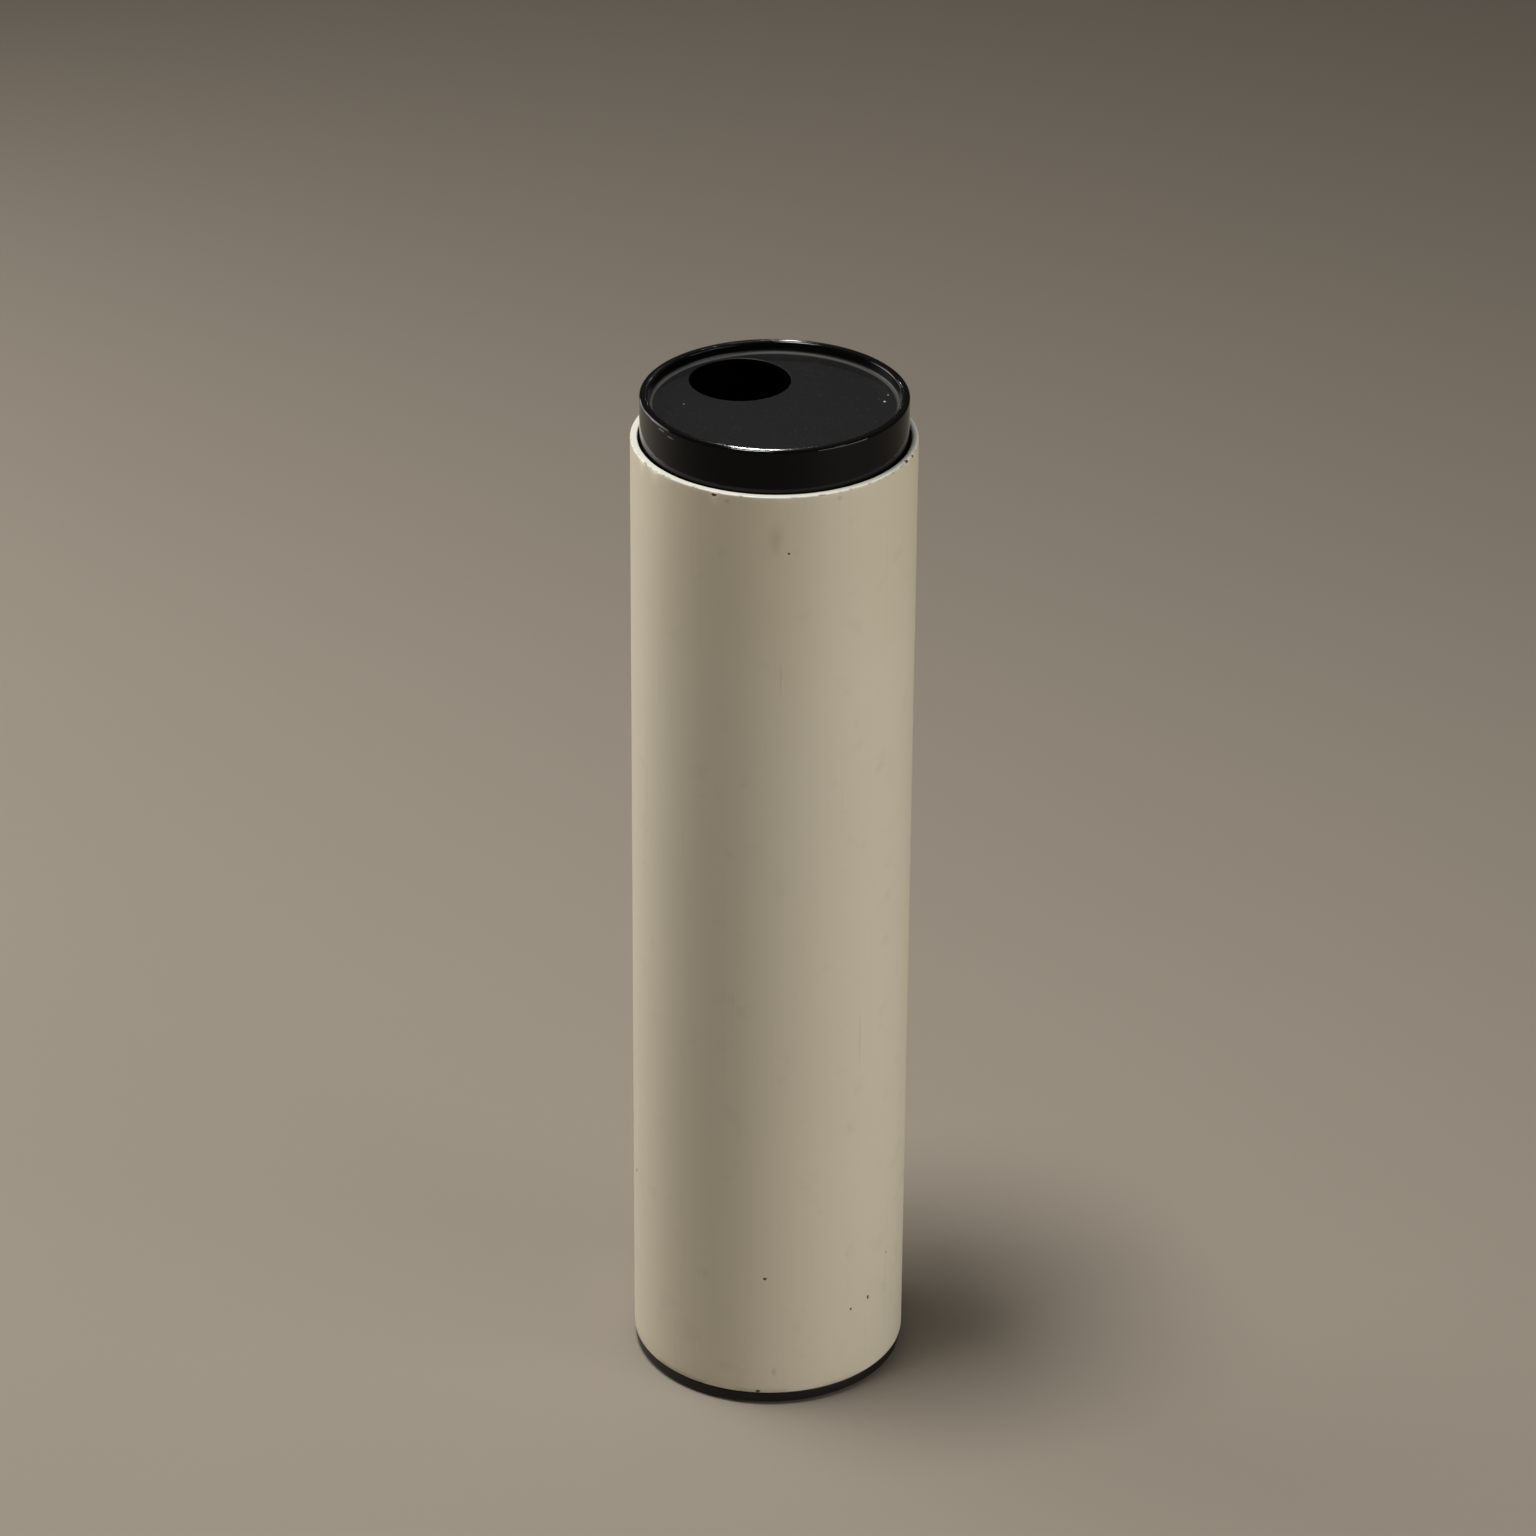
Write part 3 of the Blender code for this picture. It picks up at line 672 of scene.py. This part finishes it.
spigot = tube.inner - SPIGOT_PLAY
recess_z = foot.low + FOOT_RECESS
rim_inside = foot.outer - FOOT_RIM_WIDTH
build = bmesh.new()
spin(build, rounded([
    (foot.outer, foot.low, FOOT_EDGE), (foot.outer, FOOT_RIM_TOP, FOOT_EDGE),
    (spigot, FOOT_RIM_TOP, 0), (spigot, foot.high, SPIGOT_EDGE),
    (spigot - SPIGOT_WALL, foot.high, SPIGOT_EDGE),
    (spigot - SPIGOT_WALL, recess_z + FOOT_FLOOR, SPIGOT_EDGE),
    (foot.inner, recess_z + FOOT_FLOOR, FOOT_BORE_EDGE), (foot.inner, recess_z, FOOT_BORE_EDGE),
    (rim_inside, recess_z, SPIGOT_EDGE), (rim_inside, foot.low, FOOT_EDGE),
]), FOOT_STEPS)
keep("foot_moulding", build, "stand", moulding, ["base_foot"])

# %% [markdown]
# Four pads keep the foot off the floor, a ring in the mouth carries the cap, and a rubber ring
# fills the cap's groove. A pad is turned about its own middle. The rubber ring's outline is nearly
# all fillet outside, which makes its round face.

# %% Cut the pads, the ring and the gasket
SMALL_STEPS = 48
PAD_EDGE = 0.0002
SEAT_EDGE = 0.0006
GASKET_EDGE = 0.0004
ROUND_SHARE = 0.48

for number in range(1, 5):
    node = f"foot_pad_{number}"
    low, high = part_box(node)
    pad_radius = (high.x - low.x) / 2
    middle = (low + high) / 2
    build = bmesh.new()
    spin(build, rounded([
        (0, low.z, 0), (pad_radius, low.z, PAD_EDGE), (pad_radius, high.z, PAD_EDGE),
        (0, high.z, 0),
    ], closed=False), SMALL_STEPS, closed=False, centre=(middle.x, middle.y, 0))
    keep(f"pad_{number}", build, "stand", pad_rubber, [node])

build = bmesh.new()
spin(build, rounded([
    (seat.outer, seat.low, SEAT_EDGE), (seat.outer, seat.high, SEAT_EDGE / 2),
    (seat.inner, seat.high, SEAT_EDGE), (seat.inner, seat.low, SEAT_EDGE),
]), FOOT_STEPS)
keep("cap_ledge", build, "stand", ring_plastic, ["cap_seat_ring"])

build = bmesh.new()
round_edge = (gasket.outer - gasket.inner) * ROUND_SHARE
spin(build, rounded([
    (gasket.outer, gasket.low, round_edge), (gasket.outer, gasket.high, round_edge),
    (gasket.inner, gasket.high, GASKET_EDGE), (gasket.inner, gasket.low, GASKET_EDGE),
]), FOOT_STEPS)
keep("sealing_ring", build, "cap_carrier", rubber, ["cap_gasket"])

# %% [markdown]
# ## Rings that aren't round
# A hexagon and a screw thread are rings whose radius changes with the angle, so they can be
# stacked like a turned piece: one circle, extruded edge by edge, each new ring set to its own rule.

# %% Stack rings
def set_ring(verts, rule, height):
    for vert in verts:
        angle = atan2(vert.co.y, vert.co.x)
        reach = rule(angle)
        vert.co = (reach * cos(angle), reach * sin(angle), height)


def stack(rings, segments):
    """A tube of rings, each a rule for the radius and a height. Returns it with its end loops."""
    build = bmesh.new()
    bmesh.ops.create_circle(build, radius=1.0, segments=segments)
    edges = list(build.edges)
    first = edges
    set_ring(build.verts, *rings[0])
    for rule, height in rings[1:]:
        grown = bmesh.ops.extrude_edge_only(build, edges=edges)["geom"]
        verts = {part for part in grown if isinstance(part, bmesh.types.BMVert)}
        edges = [part for part in grown if isinstance(part, bmesh.types.BMEdge)
                 and part.verts[0] in verts and part.verts[1] in verts]
        set_ring(verts, rule, height)
    return build, first, edges


def circle(radius):
    return lambda angle: radius


def hexagon(flats, corner_cut=1.0):
    """Half the width over the flats, with the corners held back to a share of their reach."""
    def rule(angle):
        side = (angle + pi / 6) % (pi / 3) - pi / 6
        return min(flats / 2 / cos(side), corner_cut * flats / 2 / cos(pi / 6))
    return rule


def thread(radius, depth, pitch, height):
    def rule(angle):
        turn_share = (height / pitch - angle / tau) % 1.0
        return radius - depth * abs(2 * turn_share - 1)
    return rule


print("corner of a 10 mm hexagon, mm:", round(1000 * hexagon(0.010)(pi / 6), 2))

# %% [markdown]
# ## Ballast and its bolt
# A disc of cast iron in the foot keeps a tall, light tube standing. One bolt goes up through the
# foot and the disc and takes a washer and a nut. The iron is rough and half rusted, so its rust is
# less metallic than its iron. The zinc is bright with dark specks where it has worn.

# %% Iron and zinc finishes
DARK_IRON = colour(0.055, 0.052, 0.050)
PALE_IRON = colour(0.120, 0.115, 0.110)
RUST = colour(0.130, 0.055, 0.025)
WORN_ZINC = colour(0.17, 0.11, 0.07)
DULLER = 0.72


def cast_iron():
    finish = Finish("cast_iron")
    sand = finish.noise(420.0, 6.0)
    rust = finish.noise(45.0, 4.0).rise(0.52, 0.70)
    tone = finish.mix(sand, DARK_IRON, PALE_IRON)
    tone = finish.mix(rust * 0.6, tone, RUST)
    return finish.set(Base_Color=tone, Roughness=0.62 + rust * 0.25, Metallic=0.55 - rust * 0.5,
                      Normal=finish.bump(sand, 0.0004, 0.6))


def zinc(name, tone, roughness):
    finish = Finish(name)
    cloud = finish.noise(160.0, 4.0)
    specks = finish.noise(700.0, 3.0)
    surface = finish.mix(cloud, colour(*tone), colour(*(DULLER * value for value in tone)))
    surface = finish.mix(specks.rise(0.66, 0.76) * 0.5, surface, WORN_ZINC)
    return finish.set(Base_Color=surface, Roughness=roughness + (cloud - 0.5) * 0.25,
                      Metallic=1.0, Normal=finish.bump(specks, 0.00004, 0.4))


iron = cast_iron()
zinc_plate = zinc("zinc_steel", (0.58, 0.575, 0.54), 0.32)
wire_plate = zinc("plated_wire", (0.52, 0.52, 0.50), 0.28)
print("metal finishes:", [made.name for made in (iron, zinc_plate, wire_plate)])

# %% [markdown]
# The disc is a plain casting with a shallow machined seat round its hole, where the washer lies
# flat. Its outline has that seat as one small step.

# %% Turn the ballast
WEIGHT_EDGE = 0.0015
HUB_RADIUS = 0.016
HUB_DIP = 0.0006
HUB_SLOPE = 0.002
HUB_EDGE = 0.0005
BORE_EDGE = 0.0003
SEAT_BORE_EDGE = 0.0002

build = bmesh.new()
spin(build, rounded([
    (weight.outer, weight.low, WEIGHT_EDGE), (weight.outer, weight.high, WEIGHT_EDGE),
    (HUB_RADIUS + HUB_SLOPE, weight.high, HUB_EDGE),
    (HUB_RADIUS, weight.high - HUB_DIP, BORE_EDGE),
    (weight.inner, weight.high - HUB_DIP, SEAT_BORE_EDGE), (weight.inner, weight.low, BORE_EDGE),
]), FOOT_STEPS)
keep("ballast_disc", build, "stand", iron, ["ballast_weight"])

# %% [markdown]
# A bolt is a stack: the chamfered head, the shank, and a thread. A thread is a ring whose radius is
# a saw-tooth round the angle, and each ring up is turned a little further, so the crests join up
# into a helix. A screw modifier would make the helix, but not join it to the shank.

# %% Make the bolt
HEX_FLATS = 0.010
HEX_CORNER_CUT = 0.93
HEX_STEPS = 48
HEAD_HEIGHT = 0.004
HEX_CHAMFER = 0.0005
BOLT_RADIUS = 0.003
THREAD_PITCH = 0.001
THREAD_DEPTH = 0.00045
THREAD_RINGS = 8
THREAD_LENGTH = 0.020

bolt_low, bolt_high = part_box("ballast_bolt")
head_low = bolt_low.z
head_top = head_low + HEAD_HEIGHT
thread_start = bolt_high.z - THREAD_LENGTH
rings = [
    (circle(HEX_FLATS / 2 - HEX_CHAMFER), head_low),
    (hexagon(HEX_FLATS, HEX_CORNER_CUT), head_low + HEX_CHAMFER / 2),
    (hexagon(HEX_FLATS), head_low + 2 * HEX_CHAMFER),
    (hexagon(HEX_FLATS), head_top),
    (circle(BOLT_RADIUS), head_top),
    (circle(BOLT_RADIUS), thread_start - THREAD_PITCH / 2),
]
for step in range(int(THREAD_LENGTH / THREAD_PITCH * THREAD_RINGS)):
    level = thread_start + step * THREAD_PITCH / THREAD_RINGS
    rings.append((thread(BOLT_RADIUS, THREAD_DEPTH, THREAD_PITCH, level), level))
rings.append((circle(BOLT_RADIUS - THREAD_DEPTH), bolt_high.z))
build, bottom, top = stack(rings, HEX_STEPS)
bmesh.ops.edgeloop_fill(build, edges=bottom)
bmesh.ops.edgeloop_fill(build, edges=top)
keep("hex_bolt", build, "stand", zinc_plate, ["ballast_bolt"])

# %% [markdown]
# The nut is the same kind of stack, but it goes up its outside and down its bore, and a bridge
# closes the ring between its first loop and its last. The washer is a plain turned ring.

# %% Make the nut and the washer
NUT_LEAD = 0.0004
WASHER_EDGE = 0.0002

nut_low, nut_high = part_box("ballast_nut")
nut_bore = span("ballast_nut").inner
build, bottom, top = stack([
    (circle(nut_bore + NUT_LEAD), nut_low.z), (circle(HEX_FLATS / 2 - HEX_CHAMFER), nut_low.z),
    (hexagon(HEX_FLATS, HEX_CORNER_CUT), nut_low.z + HEX_CHAMFER / 2),
    (hexagon(HEX_FLATS), nut_low.z + 2 * HEX_CHAMFER),
    (hexagon(HEX_FLATS), nut_high.z - 2 * HEX_CHAMFER),
    (hexagon(HEX_FLATS, HEX_CORNER_CUT), nut_high.z - HEX_CHAMFER / 2),
    (circle(HEX_FLATS / 2 - HEX_CHAMFER), nut_high.z),
    (circle(nut_bore + NUT_LEAD), nut_high.z),
    (circle(nut_bore), nut_high.z - NUT_LEAD), (circle(nut_bore), nut_low.z + NUT_LEAD),
], HEX_STEPS)
bmesh.ops.bridge_loops(build, edges=bottom + top)
keep("hex_nut", build, "stand", zinc_plate, ["ballast_nut"])

washer = span("ballast_washer")
build = bmesh.new()
spin(build, rounded([
    (washer.outer, washer.low, 2 * WASHER_EDGE), (washer.outer, washer.high, WASHER_EDGE),
    (washer.inner, washer.high, WASHER_EDGE), (washer.inner, washer.low, WASHER_EDGE),
]), SMALL_STEPS)
keep("flat_washer", build, "stand", zinc_plate, ["ballast_washer"])

# %% [markdown]
# ## The bucket
# The ash bucket is thin galvanised sheet: a rolled sleeve with a wired bead at its mouth and a
# lapped seam down its back, and a pressed bottom. Hot-dip zinc freezes in flat crystals, each
# with its own shade, which is a Voronoi pattern with one random tone per cell. The inside is
# dulled by ash, most of all low down.

# %% Galvanised finish
DARK_CRYSTAL = colour(0.36, 0.37, 0.38)
PALE_CRYSTAL = colour(0.50, 0.51, 0.51)
DRIP = colour(0.30, 0.30, 0.30)
ASH = colour(0.16, 0.145, 0.125)
WARP = 0.012
CRYSTAL_SCALE = 95.0


def galvanised_sheet():
    finish = Finish("galvanised_sheet")
    warp = finish.noise(30.0, 2.0, output="Color")
    bent = finish.add("ShaderNodeVectorMath", {"operation": "MULTIPLY_ADD"},
                      {0: warp, 1: (WARP, WARP, WARP), 2: finish.place})
    cells = finish.add("ShaderNodeTexVoronoi", None,
                       {"Vector": bent, "Scale": CRYSTAL_SCALE, "Randomness": 1.0}, "Color")
    crystal = finish.add("ShaderNodeSeparateColor", None, {0: cells}, "Red")
    streak = finish.noise(1.0, 3.0, finish.stretched(120.0, 120.0, 8.0))
    ash = finish.radius().fall(wall.inner + 0.0001, wall.inner + 0.0005)
    ash = ash * (finish.noise(35.0, 5.0) * 1.3 + finish.axis("Z") * -0.9 + 0.25).rise(0.2, 0.9)
    tone = finish.mix(crystal, DARK_CRYSTAL, PALE_CRYSTAL)
    tone = finish.mix(streak.rise(0.5, 0.75) * 0.3, tone, DRIP)
    tone = finish.mix(ash, tone, ASH)
    rough = 0.36 + crystal * 0.16 + ash * 0.35
    return finish.set(Base_Color=tone, Roughness=rough, Metallic=0.95 - ash * 0.85,
                      Normal=finish.bump(crystal * 0.3 + streak * 0.4, 0.00005, 0.5))


sheet = galvanised_sheet()
print("galvanised sheet:", len(sheet.node_tree.nodes), "nodes")

# %% [markdown]
# The sleeve and its bead are one sheet: the wall goes up, curls outwards round a wire and comes
# back to itself. The outline draws that as a straight wall with a near circle on top, so one spin
# makes both and nothing has to be joined.

# %% Roll the sleeve with its bead
SLEEVE_STEPS = 240
SHEET = 0.001
BEAD = 0.0015
BEAD_STEPS = 20

sleeve_outer = wall.outer - BEAD
sleeve_inner = sleeve_outer - SHEET
bead_z = wall.high - BEAD
outline = [Vector((sleeve_inner, wall.low)), Vector((sleeve_outer, wall.low))]
for step in range(BEAD_STEPS):
    angle = -pi / 2 + step * tau / BEAD_STEPS
    outline.append(Vector((sleeve_outer + BEAD * cos(angle), bead_z + BEAD * sin(angle))))
outline.append(Vector((sleeve_inner, bead_z - BEAD)))
build = bmesh.new()
spin(build, outline, SLEEVE_STEPS)
keep("bucket_sleeve", build, "bucket", sheet, ["bucket_wall"])

# %% [markdown]
# Where the sheet's ends lap, a flat strip stands up from the wall. Its section is spun through a few
# degrees only, so it follows the wall's curve, and then its two open ends are filled. It stands a
# hair off the wall, because two faces in one place would flicker.

# %% Lap the seam
SEAM_ARC = radians(6.0)
SEAM_END = 0.001
SEAM_SLOPE = 0.0005
SEAM_THICKNESS = 0.0006
SEAM_STEPS = 8
SEAM_AT = radians(87.0)
SEAM_LIFT = 0.00005

build = bmesh.new()
seam_in = sleeve_outer + SEAM_LIFT
corners = [(seam_in, wall.low + SEAM_END),
           (seam_in + SEAM_THICKNESS, wall.low + SEAM_END + SEAM_SLOPE),
           (seam_in + SEAM_THICKNESS, bead_z - 2.2 * BEAD), (seam_in, bead_z - 2.0 * BEAD)]
start = [build.verts.new((r, 0, z)) for r, z in corners]
edges = [build.edges.new((start[index - 1], start[index])) for index in range(4)]
bmesh.ops.rotate(build, verts=start, cent=(0, 0, 0), matrix=Matrix.Rotation(SEAM_AT, 3, "Z"))
bmesh.ops.spin(build, geom=start + edges, cent=(0, 0, 0), axis=(0, 0, 1), dvec=(0, 0, 0),
               angle=SEAM_ARC, steps=SEAM_STEPS, use_merge=False, use_duplicate=False)
bmesh.ops.holes_fill(build, edges=build.edges, sides=4)
keep("sleeve_seam", build, "bucket", sheet)

# %% [markdown]
# The bottom is a pressed plate with its edge turned down inside the sleeve, and its middle is
# pressed slightly lower, which stiffens a thin sheet. The outline runs out along its underside and
# back along its top, from the axis to the axis.

# %% Press the bottom
PLATE = 0.0012
DISHED = 0.0006
PRESSED_INNER = 0.030
PRESSED_OUTER = 0.034
PRESSED_EDGE = 0.004
BEND_INSIDE = 0.0006
BEND_OUTSIDE = 0.0014
CUT_EDGE = 0.0003

build = bmesh.new()
lip = plate.outer - PLATE
top_z = plate.high
spin(build, rounded([
    (0, top_z - PLATE - DISHED, 0), (PRESSED_INNER, top_z - PLATE - DISHED, PRESSED_EDGE),
    (PRESSED_OUTER, top_z - PLATE, PRESSED_EDGE), (lip, top_z - PLATE, BEND_INSIDE),
    (lip, plate.low, CUT_EDGE), (plate.outer, plate.low, CUT_EDGE),
    (plate.outer, top_z, BEND_OUTSIDE), (PRESSED_OUTER, top_z, PRESSED_EDGE),
    (PRESSED_INNER, top_z - DISHED, PRESSED_EDGE), (0, top_z - DISHED, 0),
], closed=False), SLEEVE_STEPS, closed=False)
keep("bucket_plate", build, "bucket", sheet, ["bucket_bottom"])

# %% [markdown]
# ## Ears, rivets and the bail
# Two flat ears are riveted inside the mouth, and the bail's ends sit in their holes. An ear is
# stamped from sheet, and is made the same way: its outline and its hole are filled as one flat
# face, that face is extruded to the sheet's thickness, and only the edges round it are bevelled.

# %% Stamp the ears
EAR_CORNER = 0.003
EAR_EDGE = 0.0002
PIN_PLAY = 0.0003
WIRE = 0.0015
CROWN_STEPS = 24
SHOULDER_DROP = 0.0015

bail_low, bail_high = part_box("bucket_bail")
bail_z = (bail_low.z + bail_high.z) / 2


def ear(name, node):
    low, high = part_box(node)
    crown = high.z - bail_z
    half = (high.y - low.y) / 2
    shoulder = wall.high - SHOULDER_DROP
    right = rounded([(0, low.z, 0), (half, low.z, EAR_CORNER), (half, shoulder, 0)], closed=False)
    for step in range(CROWN_STEPS + 1):
        angle = pi / 2 * step / CROWN_STEPS
        right.append(Vector((crown * cos(angle), bail_z + crown * sin(angle))))
    left = [Vector((-y, z)) for y, z in reversed(right[1:-1])]
    build = bmesh.new()
    ring = [build.verts.new((low.x, y, z)) for y, z in right + left]
    rim = [build.edges.new((ring[index - 1], ring[index])) for index in range(len(ring))]
    place = Matrix.Translation((low.x, 0, bail_z)) @ Matrix.Rotation(pi / 2, 4, "Y")
    hole = bmesh.ops.create_circle(build, radius=WIRE + PIN_PLAY, segments=SMALL_STEPS,
                                   matrix=place)["verts"]
    rim += list({edge for vert in hole for edge in vert.link_edges})
    faces = bmesh.ops.triangle_fill(build, edges=rim, use_beauty=True)["geom"]
    faces = [part for part in faces if isinstance(part, bmesh.types.BMFace)]
    grown = bmesh.ops.extrude_face_region(build, geom=faces)["geom"]
    far_side = [part for part in grown if isinstance(part, bmesh.types.BMVert)]
    bmesh.ops.translate(build, verts=far_side, vec=(high.x - low.x, 0, 0))
    bmesh.ops.recalc_face_normals(build, faces=build.faces)
    corners = [e for e in build.edges if e.calc_face_angle(0) > SHARP
               and abs(e.verts[0].co.x - e.verts[1].co.x) < WELD]
    bmesh.ops.bevel(build, geom=corners, offset=EAR_EDGE, offset_type="OFFSET", segments=2,
                    profile=0.5, affect="EDGES", material=-1)
    keep(name, build, "bucket", sheet, [node])


ear("ear_left", "bucket_ear_left")
ear("ear_right", "bucket_ear_right")

# %% [markdown]
# A rivet has a low domed head on each side. It is turned around its own axis, upright, and then
# laid down through ear and sleeve, so that its place ends up in its mesh.

# %% Head the rivets
RIVET_RADIUS = 0.0015
DOME_HEIGHT = 0.0008
DOME_STEPS = 6


def dome(radius, base, height):
    """Outline of a low domed head, from its edge to its middle."""
    points = []
    for step in range(DOME_STEPS + 1):
        angle = pi / 2 * step / DOME_STEPS
        points.append(Vector((radius * cos(angle), base + height * sin(angle))))
    return points


for number in range(1, 5):
    node = f"ear_rivet_{number}"
    low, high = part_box(node)
    side = 1 if low.x > 0 else -1
    inner, outer = sorted((abs(low.x), abs(high.x)))
    head = (high.z - low.z) / 2
    inside = [Vector((r, inner + DOME_HEIGHT - (z - inner))) for r, z
              in reversed(dome(head, inner, DOME_HEIGHT))]
    outside = dome(head, outer - DOME_HEIGHT, DOME_HEIGHT)
    shank = [Vector((RIVET_RADIUS, inner + DOME_HEIGHT)),
             Vector((RIVET_RADIUS, outer - DOME_HEIGHT))]
    build = bmesh.new()
    spin(build, inside + shank + outside, SMALL_STEPS, closed=False)
    bmesh.ops.rotate(build, verts=build.verts, cent=(0, 0, 0),
                     matrix=Matrix.Rotation(side * pi / 2, 3, "Y"))
    bmesh.ops.translate(build, verts=build.verts,
                        vec=(0, (low.y + high.y) / 2, (low.z + high.z) / 2))
    keep(f"rivet_{number}", build, "bucket", wire_plate, [node])

# %% [markdown]
# The bail follows one smooth line in its own plane: a short pin through each ear, a tight bend,
# and a half oval that reaches the bead at the front, where it lies folded down. A bevelled curve
# makes the round wire, and a sweep of circles in a mesh would give the same with more work.

# %% Bend the bail
BEND = 0.003
BEND_STEPS = 8
OVAL_STEPS = 90
EAR_CLEARANCE = 0.002
WIRE_ROUNDNESS = 6

pin_x = bail_high.x
reach_y = -bail_low.y - WIRE - BEND
ear_inner = min(abs(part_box("bucket_ear_right")[0].x), abs(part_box("bucket_ear_right")[1].x))
leg_x = ear_inner - EAR_CLEARANCE - WIRE
right = [(pin_x, 0.0)]
for step in range(BEND_STEPS + 1):
    angle = pi / 2 * (1 + step / BEND_STEPS)
    right.append((leg_x + BEND + BEND * cos(angle), -BEND + BEND * sin(angle)))
angles = [pi * step / OVAL_STEPS for step in range(1, OVAL_STEPS)]
oval = [(leg_x * cos(a), -BEND - reach_y * sin(a)) for a in angles]
route = right + oval + [(-x, y) for x, y in reversed(right)]
line = bpy.data.curves.new("bail_wire", "CURVE")
line.dimensions = "3D"
line.bevel_depth = WIRE
line.bevel_resolution = WIRE_ROUNDNESS
line.use_fill_caps = True
path = line.splines.new("POLY")
path.points.add(len(route) - 1)
for point, (x, y) in zip(path.points, route):
    point.co = (x, y, bail_z, 1.0)
line.materials.append(wire_plate)
bail_wire = bpy.data.objects.new("bail_wire", line)
bpy.context.scene.collection.objects.link(bail_wire)
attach(bail_wire, "bail")
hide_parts("bucket_bail")
print("bail:", len(route), "points, reaches", round(bail_low.y, 4))

# %% [markdown]
# ## Floor and light
# The floor is plain warm paper, far larger than the view, so that no edge of it shows. A faint
# cloud in its tone and fibre in its roughness keep it from looking like a flat card.

# %% Lay the floor
FLOOR_SIZE = 24.0
PAPER = colour(0.254, 0.219, 0.174)
PAPER_SHADE = colour(0.230, 0.202, 0.162)


def paper():
    finish = Finish("paper_floor")
    cloud = finish.noise(2.2, 3.0)
    fibre = finish.noise(260.0, 3.0)
    tone = finish.mix(cloud * 0.5, PAPER, PAPER_SHADE)
    return finish.set(Base_Color=tone, Roughness=0.85 + (fibre - 0.5) * 0.1,
                      Specular_IOR_Level=0.2)


build = bmesh.new()
bmesh.ops.create_grid(build, x_segments=1, y_segments=1, size=FLOOR_SIZE / 2)
floor_mesh = bpy.data.meshes.new("floor")
build.to_mesh(floor_mesh)
build.free()
floor_mesh.materials.append(paper())
floor = bpy.data.objects.new("floor", floor_mesh)
floor.location.z = cad_low.z
bpy.context.scene.collection.objects.link(floor)
print("floor:", FLOOR_SIZE, "m square")

# %% [markdown]
# Low cards on both sides light the tube's wall and leave the soft darker band on its left. A small
# box high on the left lights the floor and throws the round shadow at the foot's right. Two tiny
# lamps far behind give the glints on the cap's rim. A few lamps with sizes of their own are
# easier to balance than one bright sky, which would flatten the gloss.

# %% Hang the soft boxes
ROOM_GLOW = colour(1.0, 0.93, 0.84)
ROOM_STRENGTH = 0.04
AIM = Vector((0, 0, 0.3))
SOFT_BOXES = (
    # name, azimuth from the camera, elevation, distance, width, height, power
    ("left_card", -108.0, 6.0, 2.2, 1.0, 1.0, 15.4),
    ("left_back_card", -135.0, 6.0, 2.2, 1.0, 1.0, 6.4),
    ("left_window", -120.0, 25.0, 2.2, 1.0, 1.1, 13.0),
    ("right_card", 58.0, 6.0, 2.2, 1.8, 1.0, 27.4),
    ("right_lamp", 60.0, 40.0, 2.2, 0.3, 0.3, 1.7),
    ("top_box", -70.0, 81.0, 2.2, 0.5, 0.5, 56.5),
    ("rim_lamp_near", -179.5, 32.6, 2.49, 0.040, 0.020, 0.34),
    ("rim_lamp_far", 179.6, 29.9, 2.61, 0.015, 0.015, 0.07),
)


def soft_box(name, azimuth, elevation, distance, width, height, power):
    around = CAMERA_AZIMUTH + radians(azimuth)
    up = radians(elevation)
    toward = Vector((sin(around) * cos(up), -cos(around) * cos(up), sin(up)))
    lamp = bpy.data.lights.new(name, "AREA")
    lamp.shape = "RECTANGLE"
    lamp.size = width
    lamp.size_y = height
    lamp.energy = power
    box = bpy.data.objects.new(name, lamp)
    box.location = AIM + toward * distance
    box.rotation_euler = toward.to_track_quat("Z", "Y").to_euler()
    box.visible_camera = False
    bpy.context.scene.collection.objects.link(box)


for settings in SOFT_BOXES:
    soft_box(*settings)

world = bpy.data.worlds.new("room")
world.use_nodes = True
bpy.context.scene.world = world
background = world.node_tree.nodes["Background"]
background.inputs["Color"].default_value = ROOM_GLOW
background.inputs["Strength"].default_value = ROOM_STRENGTH
bpy.context.scene.view_settings.view_transform = "Standard"
print("lights:", [settings[0] for settings in SOFT_BOXES])
